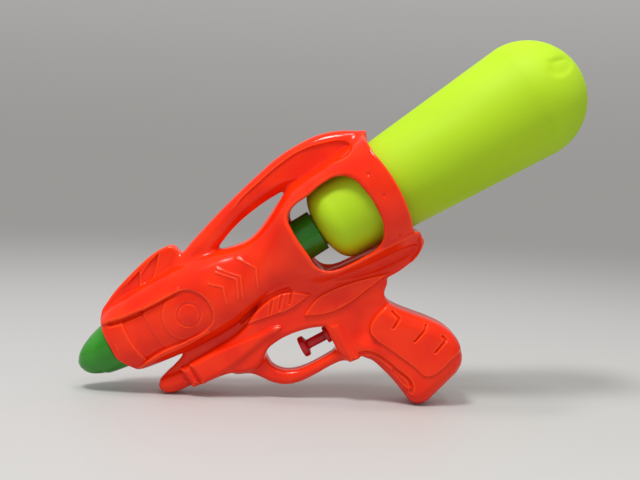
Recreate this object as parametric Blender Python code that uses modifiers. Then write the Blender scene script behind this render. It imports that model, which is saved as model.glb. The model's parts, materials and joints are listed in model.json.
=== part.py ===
"""Toy water squirter with a push trigger pump and a screw-in rear tank.

The squirter is drawn in its own side plane: u runs from the nose to the tail
along the barrel, v runs up, and y runs across, with the left side at -y.
A root empty then tilts it nose down, so that it stands on the tip of its
under-rail and the toe of its grip. Sizes are in metres; outline points are
in millimetres and are scaled by MM.
"""

import math

import bmesh
import bpy
from mathutils import Matrix, Vector

for item in list(bpy.data.objects):
    bpy.data.objects.remove(item, do_unlink=True)

MM = 0.001
WELD = 0.00001
SOLVE_SCALE = 1000.0
SOLVE_WELD = 0.0001
SHELL_SOLVER = "MANIFOLD"
CORNER = True

# Fits and walls
CLEARANCE = 0.0003
SEAM_GAP = 0.0002
SHELL_WALL = 0.0020
PANEL_DEPTH = 0.0012
OVERCUT = 0.0010

# Half widths of the body's forms, across the seam
KEEL_HALF_WIDTH = 0.0120
PLATE_HALF_WIDTH = 0.0135
RAIL_HALF_WIDTH = 0.0088
BULLET_HALF_WIDTH = 0.0140
GUARD_HALF_WIDTH = 0.0062
GRIP_HALF_WIDTH = 0.0145
CREST_HALF_WIDTH = 0.0056
ARCH_HALF_WIDTH = 0.0082
ARCH_RECESS_DEPTH = 0.0026
BARREL_HALF_WIDTH = 0.0204
BARREL_ROUNDNESS = 2.6
FLANK_HOLLOWNESS = 1.7

# Radii of the forms' outer edges
KEEL_EDGE = 0.0030
PLATE_EDGE = 0.0012
RAIL_EDGE = 0.0036
BULLET_EDGE = 0.0012
GUARD_EDGE = 0.0018
GRIP_EDGE = 0.0050
CREST_EDGE = 0.0018
ARCH_EDGE = 0.0036

# Tank and its axis, measured along the tank from the middle of the cap
TANK_TILT = math.radians(3.8)
CAP_STATION = 0.1460
TANK_SHOULDER_RADIUS = 0.0242
TANK_SHOULDER_LENGTH = 0.0148
TANK_SHOULDER_ROUNDNESS = 2.5
TANK_REAR_RADIUS = 0.0334
TANK_BODY_LENGTH = 0.1220
TANK_DOME_LENGTH = 0.0330
TANK_WALL = 0.0014
NECK_RADIUS = 0.0090
NECK_BORE_RADIUS = 0.0068
NECK_LENGTH = 0.0172
THREAD_PITCH = 0.0030
THREAD_HEIGHT = 0.0010
THREAD_WIDTH = 0.0012
THREAD_CREST_WIDTH = 0.0006
THREAD_TURNS = 2.0
CAP_THREAD_TURNS = 2.5

# Cap, gasket and the cradle round them
CAP_RADIUS = 0.0120
CAP_LEAD = 0.0162
CAP_END_WALL = 0.0022
CAP_FLANGE_HEIGHT = 0.0022
CAP_FLANGE_THICKNESS = 0.0025
CAP_BULKHEAD_DEPTH = 0.0085
CAP_SPOUT_RADIUS = 0.0036
CAP_SPOUT_LENGTH = 0.0076
CAP_SPOUT_DROP = 0.0110
GASKET_THICKNESS = 0.0015
CRADLE_CLEARANCE = 0.0008
CRADLE_WALL = 0.0040
CRADLE_TOP = 0.0050
CRADLE_FLOOR = 0.0060
CRADLE_OVERCUT = 0.0080
THROAT_RADIUS = 0.0190
THROAT_FLARE_SHARE = 0.6

# Nozzle
NOZZLE_AXIS = -0.0037
NOZZLE_TIP = -0.0020
NOZZLE_RADIUS = 0.0142
NOZZLE_TIP_RADIUS = 0.0040
NOZZLE_SEAT = 0.0200
NOZZLE_LIP = 0.0034
NOZZLE_GROOVE_DEPTH = 0.0019
NOZZLE_FLANGE_THICKNESS = 0.0022
NOZZLE_HOLE_RADIUS = 0.0016
NOZZLE_SOCKET_DEPTH = 0.0095
JET_RADIUS = 0.0030
JET_HOLE_RADIUS = 0.0008
JET_FLANGE_RADIUS = 0.0060
JET_FLANGE_THICKNESS = 0.0011

# Pump and trigger
PUMP_AXIS = -0.0540
HOUSING_FACE = 0.1294
BORE_RADIUS = 0.0050
CYLINDER_WALL = 0.0015
CYLINDER_END_WALL = 0.0020
STROKE = 0.0100
PISTON_LENGTH = 0.0070
SPRING_POCKET_DEPTH = 0.0038
GLAND_PLUG_LENGTH = 0.0030
GLAND_FLANGE_RADIUS = 0.0048
GLAND_FLANGE_THICKNESS = 0.0024
GLAND_NECK_RADIUS = 0.0040
ROD_RADIUS = 0.0027
ROD_SPIGOT_RADIUS = 0.0016
BUTTON_RADIUS = 0.0060
BUTTON_THICKNESS = 0.0040
BUTTON_CHAMFER = 0.0008
BUTTON_GAP = 0.0112
END_ROOM = 0.0016
SEAL_SECTION_RADIUS = 0.00045
SPRING_WIRE_RADIUS = 0.0004
SPRING_MEAN_RADIUS = 0.0023
SPRING_TURNS = 5

# Valves
PORT_RADIUS = 0.0010
SIDE_PORT_RADIUS = 0.0009
VALVE_BALL_RADIUS = 0.0018
VALVE_SOCKET_WALL = 0.0014
VALVE_SPRING_LENGTH = 0.0026
VALVE_SPRING_WIRE_RADIUS = 0.0002
VALVE_SPRING_TURNS = 2
PORT_LENGTH = 0.0012
FITTING_PLUG_LENGTH = 0.0022
FITTING_CAP_HEIGHT = 0.0046
BARB_RADIUS = 0.0014
BARB_LENGTH = 0.0060

# Hoses, and the way that they take from the keel into the barrel
HOSE_RADIUS = 0.0022
HOSE_BORE_RADIUS = 0.0017
HOSE_PASS_START = 0.1120
HOSE_PASS_TOP = -0.0120
HOSE_PASS_FLOOR = -0.0280

# Screws
SCREW_SHANK_RADIUS = 0.0012
SCREW_HEAD_RADIUS = 0.0026
SCREW_HEAD_TOP_RADIUS = 0.0018
SCREW_HEAD_HEIGHT = 0.0018
SCREW_POINT_LENGTH = 0.0010
SCREW_SEAT = 0.0042
SCREW_REACH = 0.0055
SCREW_BOSS_WALL = 0.0014

# Ribs in the keel that the pump lies in
SADDLE_OFFSET = 0.0030
SADDLE_RIM = 0.0030

# Facets
OUTLINE_STEPS = 2
BARREL_SIDES = 24
TURN_STEPS = 20
SMALL_STEPS = 12
SCREW_STEPS = 10
BALL_RINGS = 8
CURL_POINTS = 8
TANK_STEPS = 28
DOME_STEPS = 6
SHOULDER_STEPS = 6
NOSE_STEPS = 6
FLANK_LEVELS = 4
CRADLE_STEPS = 9
SHARP_ANGLE = math.radians(35)

# Standing pose
STAND_TILT_LIMIT = math.radians(60)
STAND_ROUNDS = 48
EMPTY_SIZE = 0.01

# Screw places in the side plane
SCREW_PLACES = (
    (44.0, 13.2),
    (100.0, 7.5),
    (66.0, -36.5),
    (172.0, -89.0),
    (186.0, -33.4),
    (101.0, 26.4),
)

# Outlines of the body, as (u, v) in millimetres
KEEL_OUTLINE = (
    (47, -27, CORNER), (56, -20), (110, -13), (150, -21), (173, -27), (172, -42), (167, -48),
    (166.4, -53), (160, -66), (140, -72.4), (132, -71.6, CORNER),
    (HOUSING_FACE / MM, -63.6, CORNER), (HOUSING_FACE / MM, -48.4, CORNER),
    (124.5, -46.2), (118, -44.4), (110, -43.2), (102, -43.3), (95.5, -44.8), (91.8, -48.5),
    (90.5, -57), (84, -57.2), (79, -51.5), (72, -47.4), (60, -45.2), (47, -44, CORNER),
)
GUARD_OUTLINE = (
    (80, -52.6), (84, -57.3), (88.4, -63), (94, -67.4), (101, -69.8), (111, -70.4), (123, -70.1),
    (134, -71.2, CORNER), (134, -63.4, CORNER), (127, -63.6), (118, -64), (108, -63.7),
    (101.5, -62.2), (96, -58.8), (92.6, -54), (91.6, -49.5), (85, -47),
)
PLATE_OUTLINE = (
    (132, -48.5, CORNER), (137.6, -49.5, CORNER), (138.4, -73, CORNER), (132.4, -72.3, CORNER),
)
RAIL_OUTLINE = (
    (31, -36.5), (32.6, -32.2), (37, -29.6), (47, -27.2), (56, -28), (60, -36), (57, -44.4),
    (46, -43.4), (37, -42), (32.8, -40.2),
)
BULLET_OUTLINE = (
    (52.6, -31.6, CORNER), (80, -32.6), (100, -34.1), (106.6, -35), (108.8, -37), (106.6, -38.6),
    (96, -40), (80, -42.4), (66, -44.4), (52.6, -44.6, CORNER),
)
GRIP_OUTLINE = (
    (142, -60), (140.4, -73.5), (143.6, -77.6), (146.6, -85.4), (149, -94), (150.6, -102.6),
    (151.8, -108.4), (155, -111.6), (160.5, -112.4, CORNER), (182, -106, CORNER), (187.4, -102),
    (190.2, -96), (191, -88.5), (188.6, -80.8), (183, -72.6), (176, -64.6), (170, -57.6),
    (166.8, -53), (160, -47), (148, -52),
)
CREST_OUTLINE = (
    (20.6, 11.5), (22.8, 16.8), (28, 20.1), (35, 23.5), (45, 27), (55, 30), (63, 31.8), (70, 32.2),
    (75, 31.2), (76.6, 28), (76, 20), (70, 12), (40, 7), (25, 6),
)
ARCH_OUTLINE = (
    (70, 20), (80, 25.3), (95, 31), (115, 37.5), (135, 43), (150, 46.5), (165, 47.6), (176, 46.9),
    (188, 43.2), (195, 40), (200.4, 37.6, CORNER), (200.4, 30, CORNER), (165, 26), (150, 27.4),
    (147.4, 28.4), (138, 28.5), (126, 27.2), (112, 24), (97, 18, CORNER), (88, 13), (72, 12),
)
ARCH_RECESS_OUTLINE = (
    (112, 32), (119, 35.4), (135, 39.6), (150, 43), (165, 44), (177, 41.6), (186, 38.2),
    (190, 33.4), (189, 30), (170, 27), (150, 26), (138, 26), (126, 25), (115, 24),
)
WINDOW_OUTLINE = (
    (137.4, 9.4), (140.4, 17), (150, 19), (159.5, 22.6), (171.5, 24), (178.6, 20.8), (183, 11.6),
    (185.3, 0), (183.6, -11), (179, -19.8), (169.6, -23.6), (157, -22.8), (145.2, -20.4),
    (141.2, -13.5), (139.5, 0),
)
PANEL_OUTLINE = (
    (12, 8.8, CORNER), (58, 8.5, CORNER), (66, 8.2), (75, 3.2), (79, -5.4), (75.6, -14.4), (67, -18.4),
    (58, -18.9, CORNER), (24, -19.6, CORNER), (12, -14, CORNER),
)

# Barrel sections at the nozzle: u, then how far top, bottom and sides stand out past its radius
RIM_ROWS = (
    (NOZZLE_SEAT, 0.0025, 0.0012, 0.0018),
    (NOZZLE_SEAT + NOZZLE_LIP, 0.0048, 0.0029, 0.0026),
)

# Barrel sections ahead of the cradle: u, top, bottom in millimetres, and share of its half width
BULKHEAD_FRONT = 0.1300
BARREL_ROWS = (
    (28, 17.3, -22.4, 0.87),
    (36, 18.3, -23.6, 0.92),
    (50, 19.6, -25.0, 0.97),
    (66, 20.2, -25.6, 1.0),
    (82, 19.4, -25.2, 0.98),
    (95, 17.3, -23.2, 0.91),
    (106, 14.8, -20.6, 0.845),
    (114, 14.2, -19.4, 0.825),
    (122, 16.2, -20.2, 0.855),
    (BULKHEAD_FRONT / MM, 20.0, -22.6, 0.96),
)

# Barrel sections round the cap and the tank, as stations along the tank
CRADLE_STATIONS = (-0.008, 0.001, 0.012, 0.026, 0.041, 0.0544)

# Flank under the cradle: u, upper edge, lower edge in millimetres, then the half width of each
FLANK_ROWS = (
    (122, -16.0, -31.0, 14.0, 11.0),
    (134, -21.0, -34.0, 18.5, 11.2),
    (150, -26.0, -37.5, 22.0, 11.4),
    (168, -28.2, -40.2, 23.6, 11.4),
    (184, -28.6, -39.9, 24.2, 11.4),
    (193, -28.8, -37.4, 24.4, 12.0),
    (200, -29.0, -32.4, 24.4, 15.0),
)

# Middle points of the hoses, as (u, y, v) in millimetres
SUCTION_ROUTE = ((126, 0, -19), (128, 0, -26.4), (132.5, 0, -32.2), (138, 0, -35.3))
OUTLET_ROUTE = (
    (166, -1.2, -70.6), (167, -3.6, -65.5), (163.4, -5.6, -58.8), (160, -6.5, -52),
    (157, -6.8, -46), (149, -6.8, -41.2), (139, -6.6, -36.6), (129, -6.2, -30), (120, -5.4, -21),
    (110, -3.6, -12.5), (96, -1.2, -6.6), (80, 0, -4.2), (60, 0, -3.7),
)
DIP_ROUTE = ((20, 0, 0), (50, 0, -3), (85, 0, -11.5), (115, 0, -20), (135, 0, -24))

parts = bpy.data.collections.new("water_squirter")
cutters = bpy.data.collections.new("cutters")
bpy.context.scene.collection.children.link(parts)
bpy.context.scene.collection.children.link(cutters)


# Modelling helpers


def welded(source, name):
    """Turn a curve or a modified object into a plain closed mesh in the cutters' collection."""
    depsgraph = bpy.context.evaluated_depsgraph_get()
    mesh = bpy.data.meshes.new_from_object(source.evaluated_get(depsgraph))
    mesh.transform(source.matrix_world)
    bm = bmesh.new()
    bm.from_mesh(mesh)
    bmesh.ops.remove_doubles(bm, verts=bm.verts, dist=WELD)
    bmesh.ops.recalc_face_normals(bm, faces=bm.faces)
    bm.to_mesh(mesh)
    bm.free()
    bpy.data.objects.remove(source, do_unlink=True)
    return as_guide(bpy.data.objects.new(name, mesh))


def as_guide(item):
    """Keep a construction solid out of the model: it is drawn as wire and not rendered."""
    cutters.objects.link(item)
    item.hide_render = True
    item.display_type = "WIRE"
    return item


def combine(target, tool, operation, solver="EXACT"):
    """Apply one Boolean to target, solved at a larger scale, and remove the tool."""
    larger = Matrix.Scale(SOLVE_SCALE, 4)
    target.data.transform(larger)
    tool.data.transform(larger)
    modifier = target.modifiers.new(operation.title(), "BOOLEAN")
    modifier.operation = operation
    modifier.solver = solver
    modifier.object = tool
    depsgraph = bpy.context.evaluated_depsgraph_get()
    mesh = bpy.data.meshes.new_from_object(target.evaluated_get(depsgraph))
    target.modifiers.clear()
    bm = bmesh.new()
    bm.from_mesh(mesh)
    bmesh.ops.remove_doubles(bm, verts=bm.verts, dist=SOLVE_WELD)
    bm.to_mesh(mesh)
    bm.free()
    mesh.transform(larger.inverted())
    target.data = mesh
    bpy.data.objects.remove(tool, do_unlink=True)
    return target


def union(target, *tools, solver="EXACT"):
    """Join the tools to the target."""
    for tool in tools:
        combine(target, tool, "UNION", solver)
    return target


def cut(target, *tools, solver="EXACT"):
    """Cut the tools away from the target."""
    for tool in tools:
        combine(target, tool, "DIFFERENCE", solver)
    return target


def copy_of(source, name):
    """Copy a construction solid with its own mesh."""
    twin = bpy.data.objects.new(name, source.data.copy())
    return as_guide(twin)


def outline(name, points, half_width, edge_radius, inset=0.0, across=0.0, rounds=0):
    """Extrude a side outline across the seam, with chamfered or rounded edges inside the outline."""
    data = bpy.data.curves.new(name, "CURVE")
    data.dimensions = "2D"
    data.fill_mode = "BOTH"
    data.resolution_u = OUTLINE_STEPS
    spline = data.splines.new("BEZIER")
    spline.use_cyclic_u = True
    spline.bezier_points.add(len(points) - 1)
    for knot, point in zip(spline.bezier_points, points):
        knot.co = (point[0] * MM, point[1] * MM, 0.0)
        kind = "VECTOR" if len(point) > 2 else "AUTO"
        knot.handle_left_type = kind
        knot.handle_right_type = kind
    edge = max(edge_radius - inset, CLEARANCE)
    data.extrude = half_width - inset - edge
    data.bevel_depth = edge
    data.bevel_resolution = rounds
    data.offset = -edge - inset
    item = bpy.data.objects.new(name, data)
    bpy.context.scene.collection.objects.link(item)
    item.rotation_euler = (math.pi / 2, 0.0, 0.0)
    item.location = (0.0, across, 0.0)
    bpy.context.view_layer.update()
    return welded(item, name)


def turned(name, profile, place, steps=TURN_STEPS):
    """Turn a closed (radius, station) profile about the X axis of a place."""
    mesh = bpy.data.meshes.new(name)
    verts = [(radius, 0.0, station) for radius, station in profile]
    open_profile = profile[0][0] < WELD and profile[-1][0] < WELD
    last = len(verts) - 1
    edges = [(i, i + 1) for i in range(last)]
    if not open_profile:
        edges.append((last, 0))
    mesh.from_pydata(verts, edges, [])
    item = bpy.data.objects.new(name, mesh)
    bpy.context.scene.collection.objects.link(item)
    screw = item.modifiers.new("Turn", "SCREW")
    screw.axis = "Z"
    screw.steps = steps
    screw.render_steps = steps
    screw.use_merge_vertices = True
    screw.merge_threshold = WELD
    item.matrix_world = place @ Matrix.Rotation(math.pi / 2, 4, "Y")
    bpy.context.view_layer.update()
    return welded(item, name)


def rod(name, radius, start, end, place, steps=SMALL_STEPS):
    """Make a plain round bar along a place's X axis, from start to end."""
    return turned(name, ((0.0, end), (radius, end), (radius, start), (0.0, start)), place, steps)


def block(name, low, high):
    """Make a box between two corners."""
    mesh = bpy.data.meshes.new(name)
    bm = bmesh.new()
    bmesh.ops.create_cube(bm, size=1.0)
    size = Vector(high) - Vector(low)
    middle = (Vector(high) + Vector(low)) / 2
    bm.transform(Matrix.Translation(middle) @ Matrix.Diagonal((*size, 1.0)))
    bm.to_mesh(mesh)
    bm.free()
    return as_guide(bpy.data.objects.new(name, mesh))


def loft(name, rings):
    """Skin a row of rings, each a list of points, and close both ends."""
    bm = bmesh.new()
    skin = [[bm.verts.new(point) for point in ring] for ring in rings]
    for first, second in zip(skin, skin[1:]):
        count = len(first)
        for k in range(count):
            after = (k + 1) % count
            bm.faces.new((first[k], first[after], second[after], second[k]))
    bm.faces.new(skin[0])
    bm.faces.new(skin[-1])
    bmesh.ops.recalc_face_normals(bm, faces=bm.faces)
    mesh = bpy.data.meshes.new(name)
    bm.to_mesh(mesh)
    bm.free()
    return as_guide(bpy.data.objects.new(name, mesh))


def pipe(name, points, radius):
    """Run a round bar along a row of points."""
    data = bpy.data.curves.new(name, "CURVE")
    data.dimensions = "3D"
    data.bevel_depth = radius
    data.bevel_resolution = 1
    data.use_fill_caps = True
    spline = data.splines.new("POLY")
    spline.points.add(len(points) - 1)
    for knot, point in zip(spline.points, points):
        knot.co = (*point, 1.0)
    item = bpy.data.objects.new(name, data)
    bpy.context.scene.collection.objects.link(item)
    return welded(item, name)


def hose(name, points):
    """Make a hose with its bore along a row of points."""
    first = Vector(points[0]) - Vector(points[1])
    last = Vector(points[-1]) - Vector(points[-2])
    longer = [
        tuple(Vector(points[0]) + first.normalized() * HOSE_RADIUS),
        *points,
        tuple(Vector(points[-1]) + last.normalized() * HOSE_RADIUS),
    ]
    return cut(pipe(name, points, HOSE_RADIUS), pipe("bore", longer, HOSE_BORE_RADIUS))


def coil(name, mean_radius, wire_radius, start, end, turns, place):
    """Wind a spring of one unbroken wire about a place's X axis and print its least gap."""
    low = start + wire_radius
    high = end - wire_radius
    count = turns * CURL_POINTS
    points = []
    for k in range(count + 1):
        angle = 2 * math.pi * k / CURL_POINTS
        station = low + (high - low) * k / count
        points.append(place @ Vector((station, mean_radius * math.cos(angle), mean_radius * math.sin(angle))))
    gaps = [
        (points[i] - points[j]).length - 2 * wire_radius
        for i in range(count + 1) for j in range(i + CURL_POINTS // 2, count + 1)
    ]
    print(f"{name}: least gap between its own turns {min(gaps) / MM:.2f} mm")
    return pipe(name, [tuple(point) for point in points], wire_radius)


def thread(name, base_radius, crest_radius, start, turns, place):
    """Wind a thread ridge about a place's X axis, from its base radius to its crest."""
    deep = -1.0 if crest_radius < base_radius else 1.0
    root = base_radius - deep * CLEARANCE
    half = THREAD_WIDTH / 2
    crest = THREAD_CREST_WIDTH / 2
    rings = []
    count = int(turns * TURN_STEPS)
    for k in range(count + 1):
        angle = 2 * math.pi * k / TURN_STEPS
        middle = start + THREAD_PITCH * k / TURN_STEPS
        across = Vector((0.0, math.cos(angle), math.sin(angle)))
        ring = []
        for radius, offset in ((root, -half), (crest_radius, -crest), (crest_radius, crest), (root, half)):
            ring.append(place @ (across * radius + Vector((middle + offset, 0.0, 0.0))))
        rings.append(ring)
    return loft(name, rings)


def finish(name, colour, roughness):
    """Make a plain plastic, rubber or steel finish."""
    material = bpy.data.materials.new(name)
    material.use_nodes = True
    shader = material.node_tree.nodes["Principled BSDF"]
    shader.inputs["Base Color"].default_value = (*colour, 1.0)
    shader.inputs["Roughness"].default_value = roughness
    if name == "steel":
        shader.inputs["Metallic"].default_value = 1.0
    return material


def keep(item, material, parent):
    """Move a finished solid to the parts, give it its finish and hang it on its carrier."""
    cutters.objects.unlink(item)
    parts.objects.link(item)
    item.hide_render = False
    item.display_type = "TEXTURED"
    item.data.materials.clear()
    item.data.materials.append(material)
    item.data.shade_smooth()
    item.data.set_sharp_from_angle(angle=SHARP_ANGLE)
    item.parent = parent
    item.matrix_parent_inverse = parent.matrix_basis.inverted()
    return item


def carrier(name, matrix, parent=None):
    """Make an empty that carries pieces on a joint's axis."""
    empty = bpy.data.objects.new(name, None)
    parts.objects.link(empty)
    empty.empty_display_size = EMPTY_SIZE
    empty.parent = parent
    empty.matrix_basis = matrix
    return empty


# Places: each turned piece is drawn along the X axis of its place


def at(u, v, turn=0.0):
    """Give the place at (u, v) whose X axis is turned up by an angle in the side plane."""
    return Matrix.Translation((u, 0.0, v)) @ Matrix.Rotation(-turn, 4, "Y")


barrel_place = at(0.0, NOZZLE_AXIS)
tank_place = at(CAP_STATION, 0.0, TANK_TILT)
pump_place = at(0.0, PUMP_AXIS)

# Stations along the pump
gland_neck_start = HOUSING_FACE - CLEARANCE
cylinder_start = HOUSING_FACE + SHELL_WALL + CLEARANCE
plug_end = cylinder_start + GLAND_PLUG_LENGTH
piston_start = plug_end + CLEARANCE
piston_end = piston_start + PISTON_LENGTH
bore_end = piston_end + STROKE + END_ROOM
cylinder_end = bore_end + CYLINDER_END_WALL
button_end = gland_neck_start - GLAND_FLANGE_THICKNESS - BUTTON_GAP
port_station = bore_end - PORT_RADIUS - CLEARANCE
valve_place_up = at(port_station, PUMP_AXIS, math.pi / 2)
valve_place_down = at(port_station, PUMP_AXIS, -math.pi / 2)

# Heights along a valve, away from the pump's axis
socket_radius = VALVE_BALL_RADIUS + 2 * CLEARANCE
tower_radius = socket_radius + VALVE_SOCKET_WALL
ledge = BORE_RADIUS + PORT_LENGTH
inlet_spring_end = ledge + CLEARANCE + VALVE_SPRING_LENGTH
inlet_ball_height = inlet_spring_end + CLEARANCE + VALVE_BALL_RADIUS
inlet_plug = inlet_ball_height + VALVE_BALL_RADIUS + CLEARANCE
outlet_ball_height = ledge + CLEARANCE + VALVE_BALL_RADIUS
outlet_spring_start = outlet_ball_height + VALVE_BALL_RADIUS + CLEARANCE
outlet_plug = outlet_spring_start + VALVE_SPRING_LENGTH + CLEARANCE
tower_top = inlet_plug + FITTING_PLUG_LENGTH
elbow_height = tower_top + CLEARANCE + FITTING_CAP_HEIGHT / 2

# Stations along the tank
cap_start = -CAP_LEAD
cap_inside = cap_start + CAP_END_WALL
neck_start = cap_inside + GASKET_THICKNESS + 2 * CLEARANCE
shoulder_start = neck_start + NECK_LENGTH
cap_end = shoulder_start
shoulder_end = shoulder_start + TANK_SHOULDER_LENGTH
dome_start = shoulder_end + TANK_BODY_LENGTH
cap_bore_radius = NECK_RADIUS + THREAD_HEIGHT + 2 * CLEARANCE
whole_length = CAP_STATION + dome_start + TANK_DOME_LENGTH


def tank_radius(station, wall=0.0):
    """Give the tank's radius at a station, inside a wall of the given thickness."""
    if station <= shoulder_end:
        share = (shoulder_end - station) / (TANK_SHOULDER_LENGTH - wall)
        left = max(1.0 - share ** TANK_SHOULDER_ROUNDNESS, 0.0)
        return (TANK_SHOULDER_RADIUS - wall) * left ** (1.0 / TANK_SHOULDER_ROUNDNESS)
    if station <= dome_start:
        share = (station - shoulder_end) / TANK_BODY_LENGTH
        return TANK_SHOULDER_RADIUS + (TANK_REAR_RADIUS - TANK_SHOULDER_RADIUS) * share - wall
    share = min((station - dome_start) / (TANK_DOME_LENGTH - wall), 1.0)
    return (TANK_REAR_RADIUS - wall) * math.sqrt(1.0 - share ** 2)


def tank_side(wall, mouth_radius):
    """List a tank wall's (radius, station) points from the tip of its dome to its mouth."""
    points = [(0.0, dome_start + TANK_DOME_LENGTH - wall)]
    for k in range(1, DOME_STEPS + 1):
        angle = math.pi / 2 * k / DOME_STEPS
        points.append(((TANK_REAR_RADIUS - wall) * math.sin(angle),
                       dome_start + (TANK_DOME_LENGTH - wall) * math.cos(angle)))
    points.append((TANK_SHOULDER_RADIUS - wall, shoulder_end))
    power = 2.0 / TANK_SHOULDER_ROUNDNESS
    for k in range(1, SHOULDER_STEPS):
        angle = math.pi / 2 * k / SHOULDER_STEPS
        radius = (TANK_SHOULDER_RADIUS - wall) * math.cos(angle) ** power
        if radius > mouth_radius + TANK_WALL:
            points.append((radius, shoulder_end - (TANK_SHOULDER_LENGTH - wall) * math.sin(angle) ** power))
    share = mouth_radius / (TANK_SHOULDER_RADIUS - wall)
    depth = (1.0 - share ** TANK_SHOULDER_ROUNDNESS) ** (1.0 / TANK_SHOULDER_ROUNDNESS)
    points.append((mouth_radius, shoulder_end - (TANK_SHOULDER_LENGTH - wall) * depth))
    return points


def cradle_radius(station):
    """Give the radius of the hollow that the cap and the tank lie in."""
    throat = cap_start + CAP_BULKHEAD_DEPTH
    share = min((station - throat) / (shoulder_end - throat) / THROAT_FLARE_SHARE, 1.0)
    round_wall = THROAT_RADIUS + (TANK_SHOULDER_RADIUS - THROAT_RADIUS) * math.sin(share * math.pi / 2)
    return max(round_wall, tank_radius(station)) + CRADLE_CLEARANCE


# Body shells


def barrel_rows():
    """List the barrel's sections from the nozzle's rim to the cradle's rear rim, in metres."""
    rows = []
    for u, above, below, beside in RIM_ROWS:
        rows.append((u, NOZZLE_AXIS + NOZZLE_RADIUS + above, NOZZLE_AXIS - NOZZLE_RADIUS - below,
                     NOZZLE_RADIUS + beside))
    for u, top, bottom, share in BARREL_ROWS:
        rows.append((u * MM, top * MM, bottom * MM, BARREL_HALF_WIDTH * share))
    for station in CRADLE_STATIONS:
        radius = cradle_radius(station)
        middle = station * math.sin(TANK_TILT)
        rows.append((CAP_STATION + station, middle + radius + CRADLE_TOP, middle - radius - CRADLE_FLOOR,
                     radius + CRADLE_WALL))
    return rows


def barrel(name, inset=0.0, start=0.0, end=1.0, lead=0.0):
    """Loft the barrel and the cradle, or the part of them between two stations, inside a wall.

    A lead draws the first section forward, past the front of the body.
    """
    power = 2.0 / BARREL_ROUNDNESS
    rings = []
    for u, top, bottom, half_width in barrel_rows():
        if not start <= u <= end:
            continue
        middle = (top + bottom) / 2
        ring = []
        for k in range(BARREL_SIDES):
            angle = 2 * math.pi * k / BARREL_SIDES
            across = math.copysign(abs(math.cos(angle)) ** power, math.cos(angle))
            upward = math.copysign(abs(math.sin(angle)) ** power, math.sin(angle))
            ring.append((u - lead, (half_width - inset) * across,
                         middle + ((top - bottom) / 2 - inset) * upward))
        rings.append(ring)
        lead = 0.0
    return loft(name, rings)


def flank(name):
    """Loft the hollowed flanks that draw the wide cradle in to the narrow keel."""
    rings = []
    for u, upper, lower, upper_half, lower_half in FLANK_ROWS:
        side = []
        for level in range(FLANK_LEVELS + 1):
            share = level / FLANK_LEVELS
            half_width = lower_half + (upper_half - lower_half) * (1 - share) ** FLANK_HOLLOWNESS
            side.append((half_width, upper + (lower - upper) * share))
        ring = [(u * MM, y * MM, v * MM) for y, v in side]
        ring += [(u * MM, -y * MM, v * MM) for y, v in reversed(side)]
        rings.append(ring)
    return loft(name, rings)


def side_panel():
    """Make the tool that sinks the tongue-shaped panel into both sides of the barrel."""
    tool = outline("panel", PANEL_OUTLINE, 2 * BARREL_HALF_WIDTH, CLEARANCE)
    return cut(tool, barrel("panel_floor", PANEL_DEPTH, lead=OVERCUT), solver=SHELL_SOLVER)


def outer_body():
    """Join all outer forms of the body."""
    body = barrel("body")
    union(
        body,
        outline("keel", KEEL_OUTLINE, KEEL_HALF_WIDTH, KEEL_EDGE),
        outline("rail", RAIL_OUTLINE, RAIL_HALF_WIDTH, RAIL_EDGE),
        outline("bullet", BULLET_OUTLINE, BULLET_HALF_WIDTH, BULLET_EDGE),
        outline("guard", GUARD_OUTLINE, GUARD_HALF_WIDTH, GUARD_EDGE),
        outline("plate", PLATE_OUTLINE, PLATE_HALF_WIDTH, PLATE_EDGE),
        outline("grip", GRIP_OUTLINE, GRIP_HALF_WIDTH, GRIP_EDGE, rounds=1),
        flank("flank"),
        outline("crest", CREST_OUTLINE, CREST_HALF_WIDTH, CREST_EDGE),
        outline("arch", ARCH_OUTLINE, ARCH_HALF_WIDTH, ARCH_EDGE, rounds=1),
        solver=SHELL_SOLVER,
    )
    reach = ARCH_HALF_WIDTH - ARCH_RECESS_DEPTH + 2 * ARCH_HALF_WIDTH
    for side in (-1, 1):
        recess = outline("arch_recess", ARCH_RECESS_OUTLINE, 2 * ARCH_HALF_WIDTH, CLEARANCE,
                         across=side * reach)
        cut(body, recess, solver=SHELL_SOLVER)
    window = outline("window", WINDOW_OUTLINE, 2 * TANK_REAR_RADIUS, CLEARANCE)
    return cut(body, side_panel(), window, solver=SHELL_SOLVER)


def screw_place(u, v):
    """Give the place of a screw, whose X axis runs across the seam to the right side."""
    return Matrix.Translation((u * MM, 0.0, v * MM)) @ Matrix.Rotation(math.pi / 2, 4, "Z")


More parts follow.
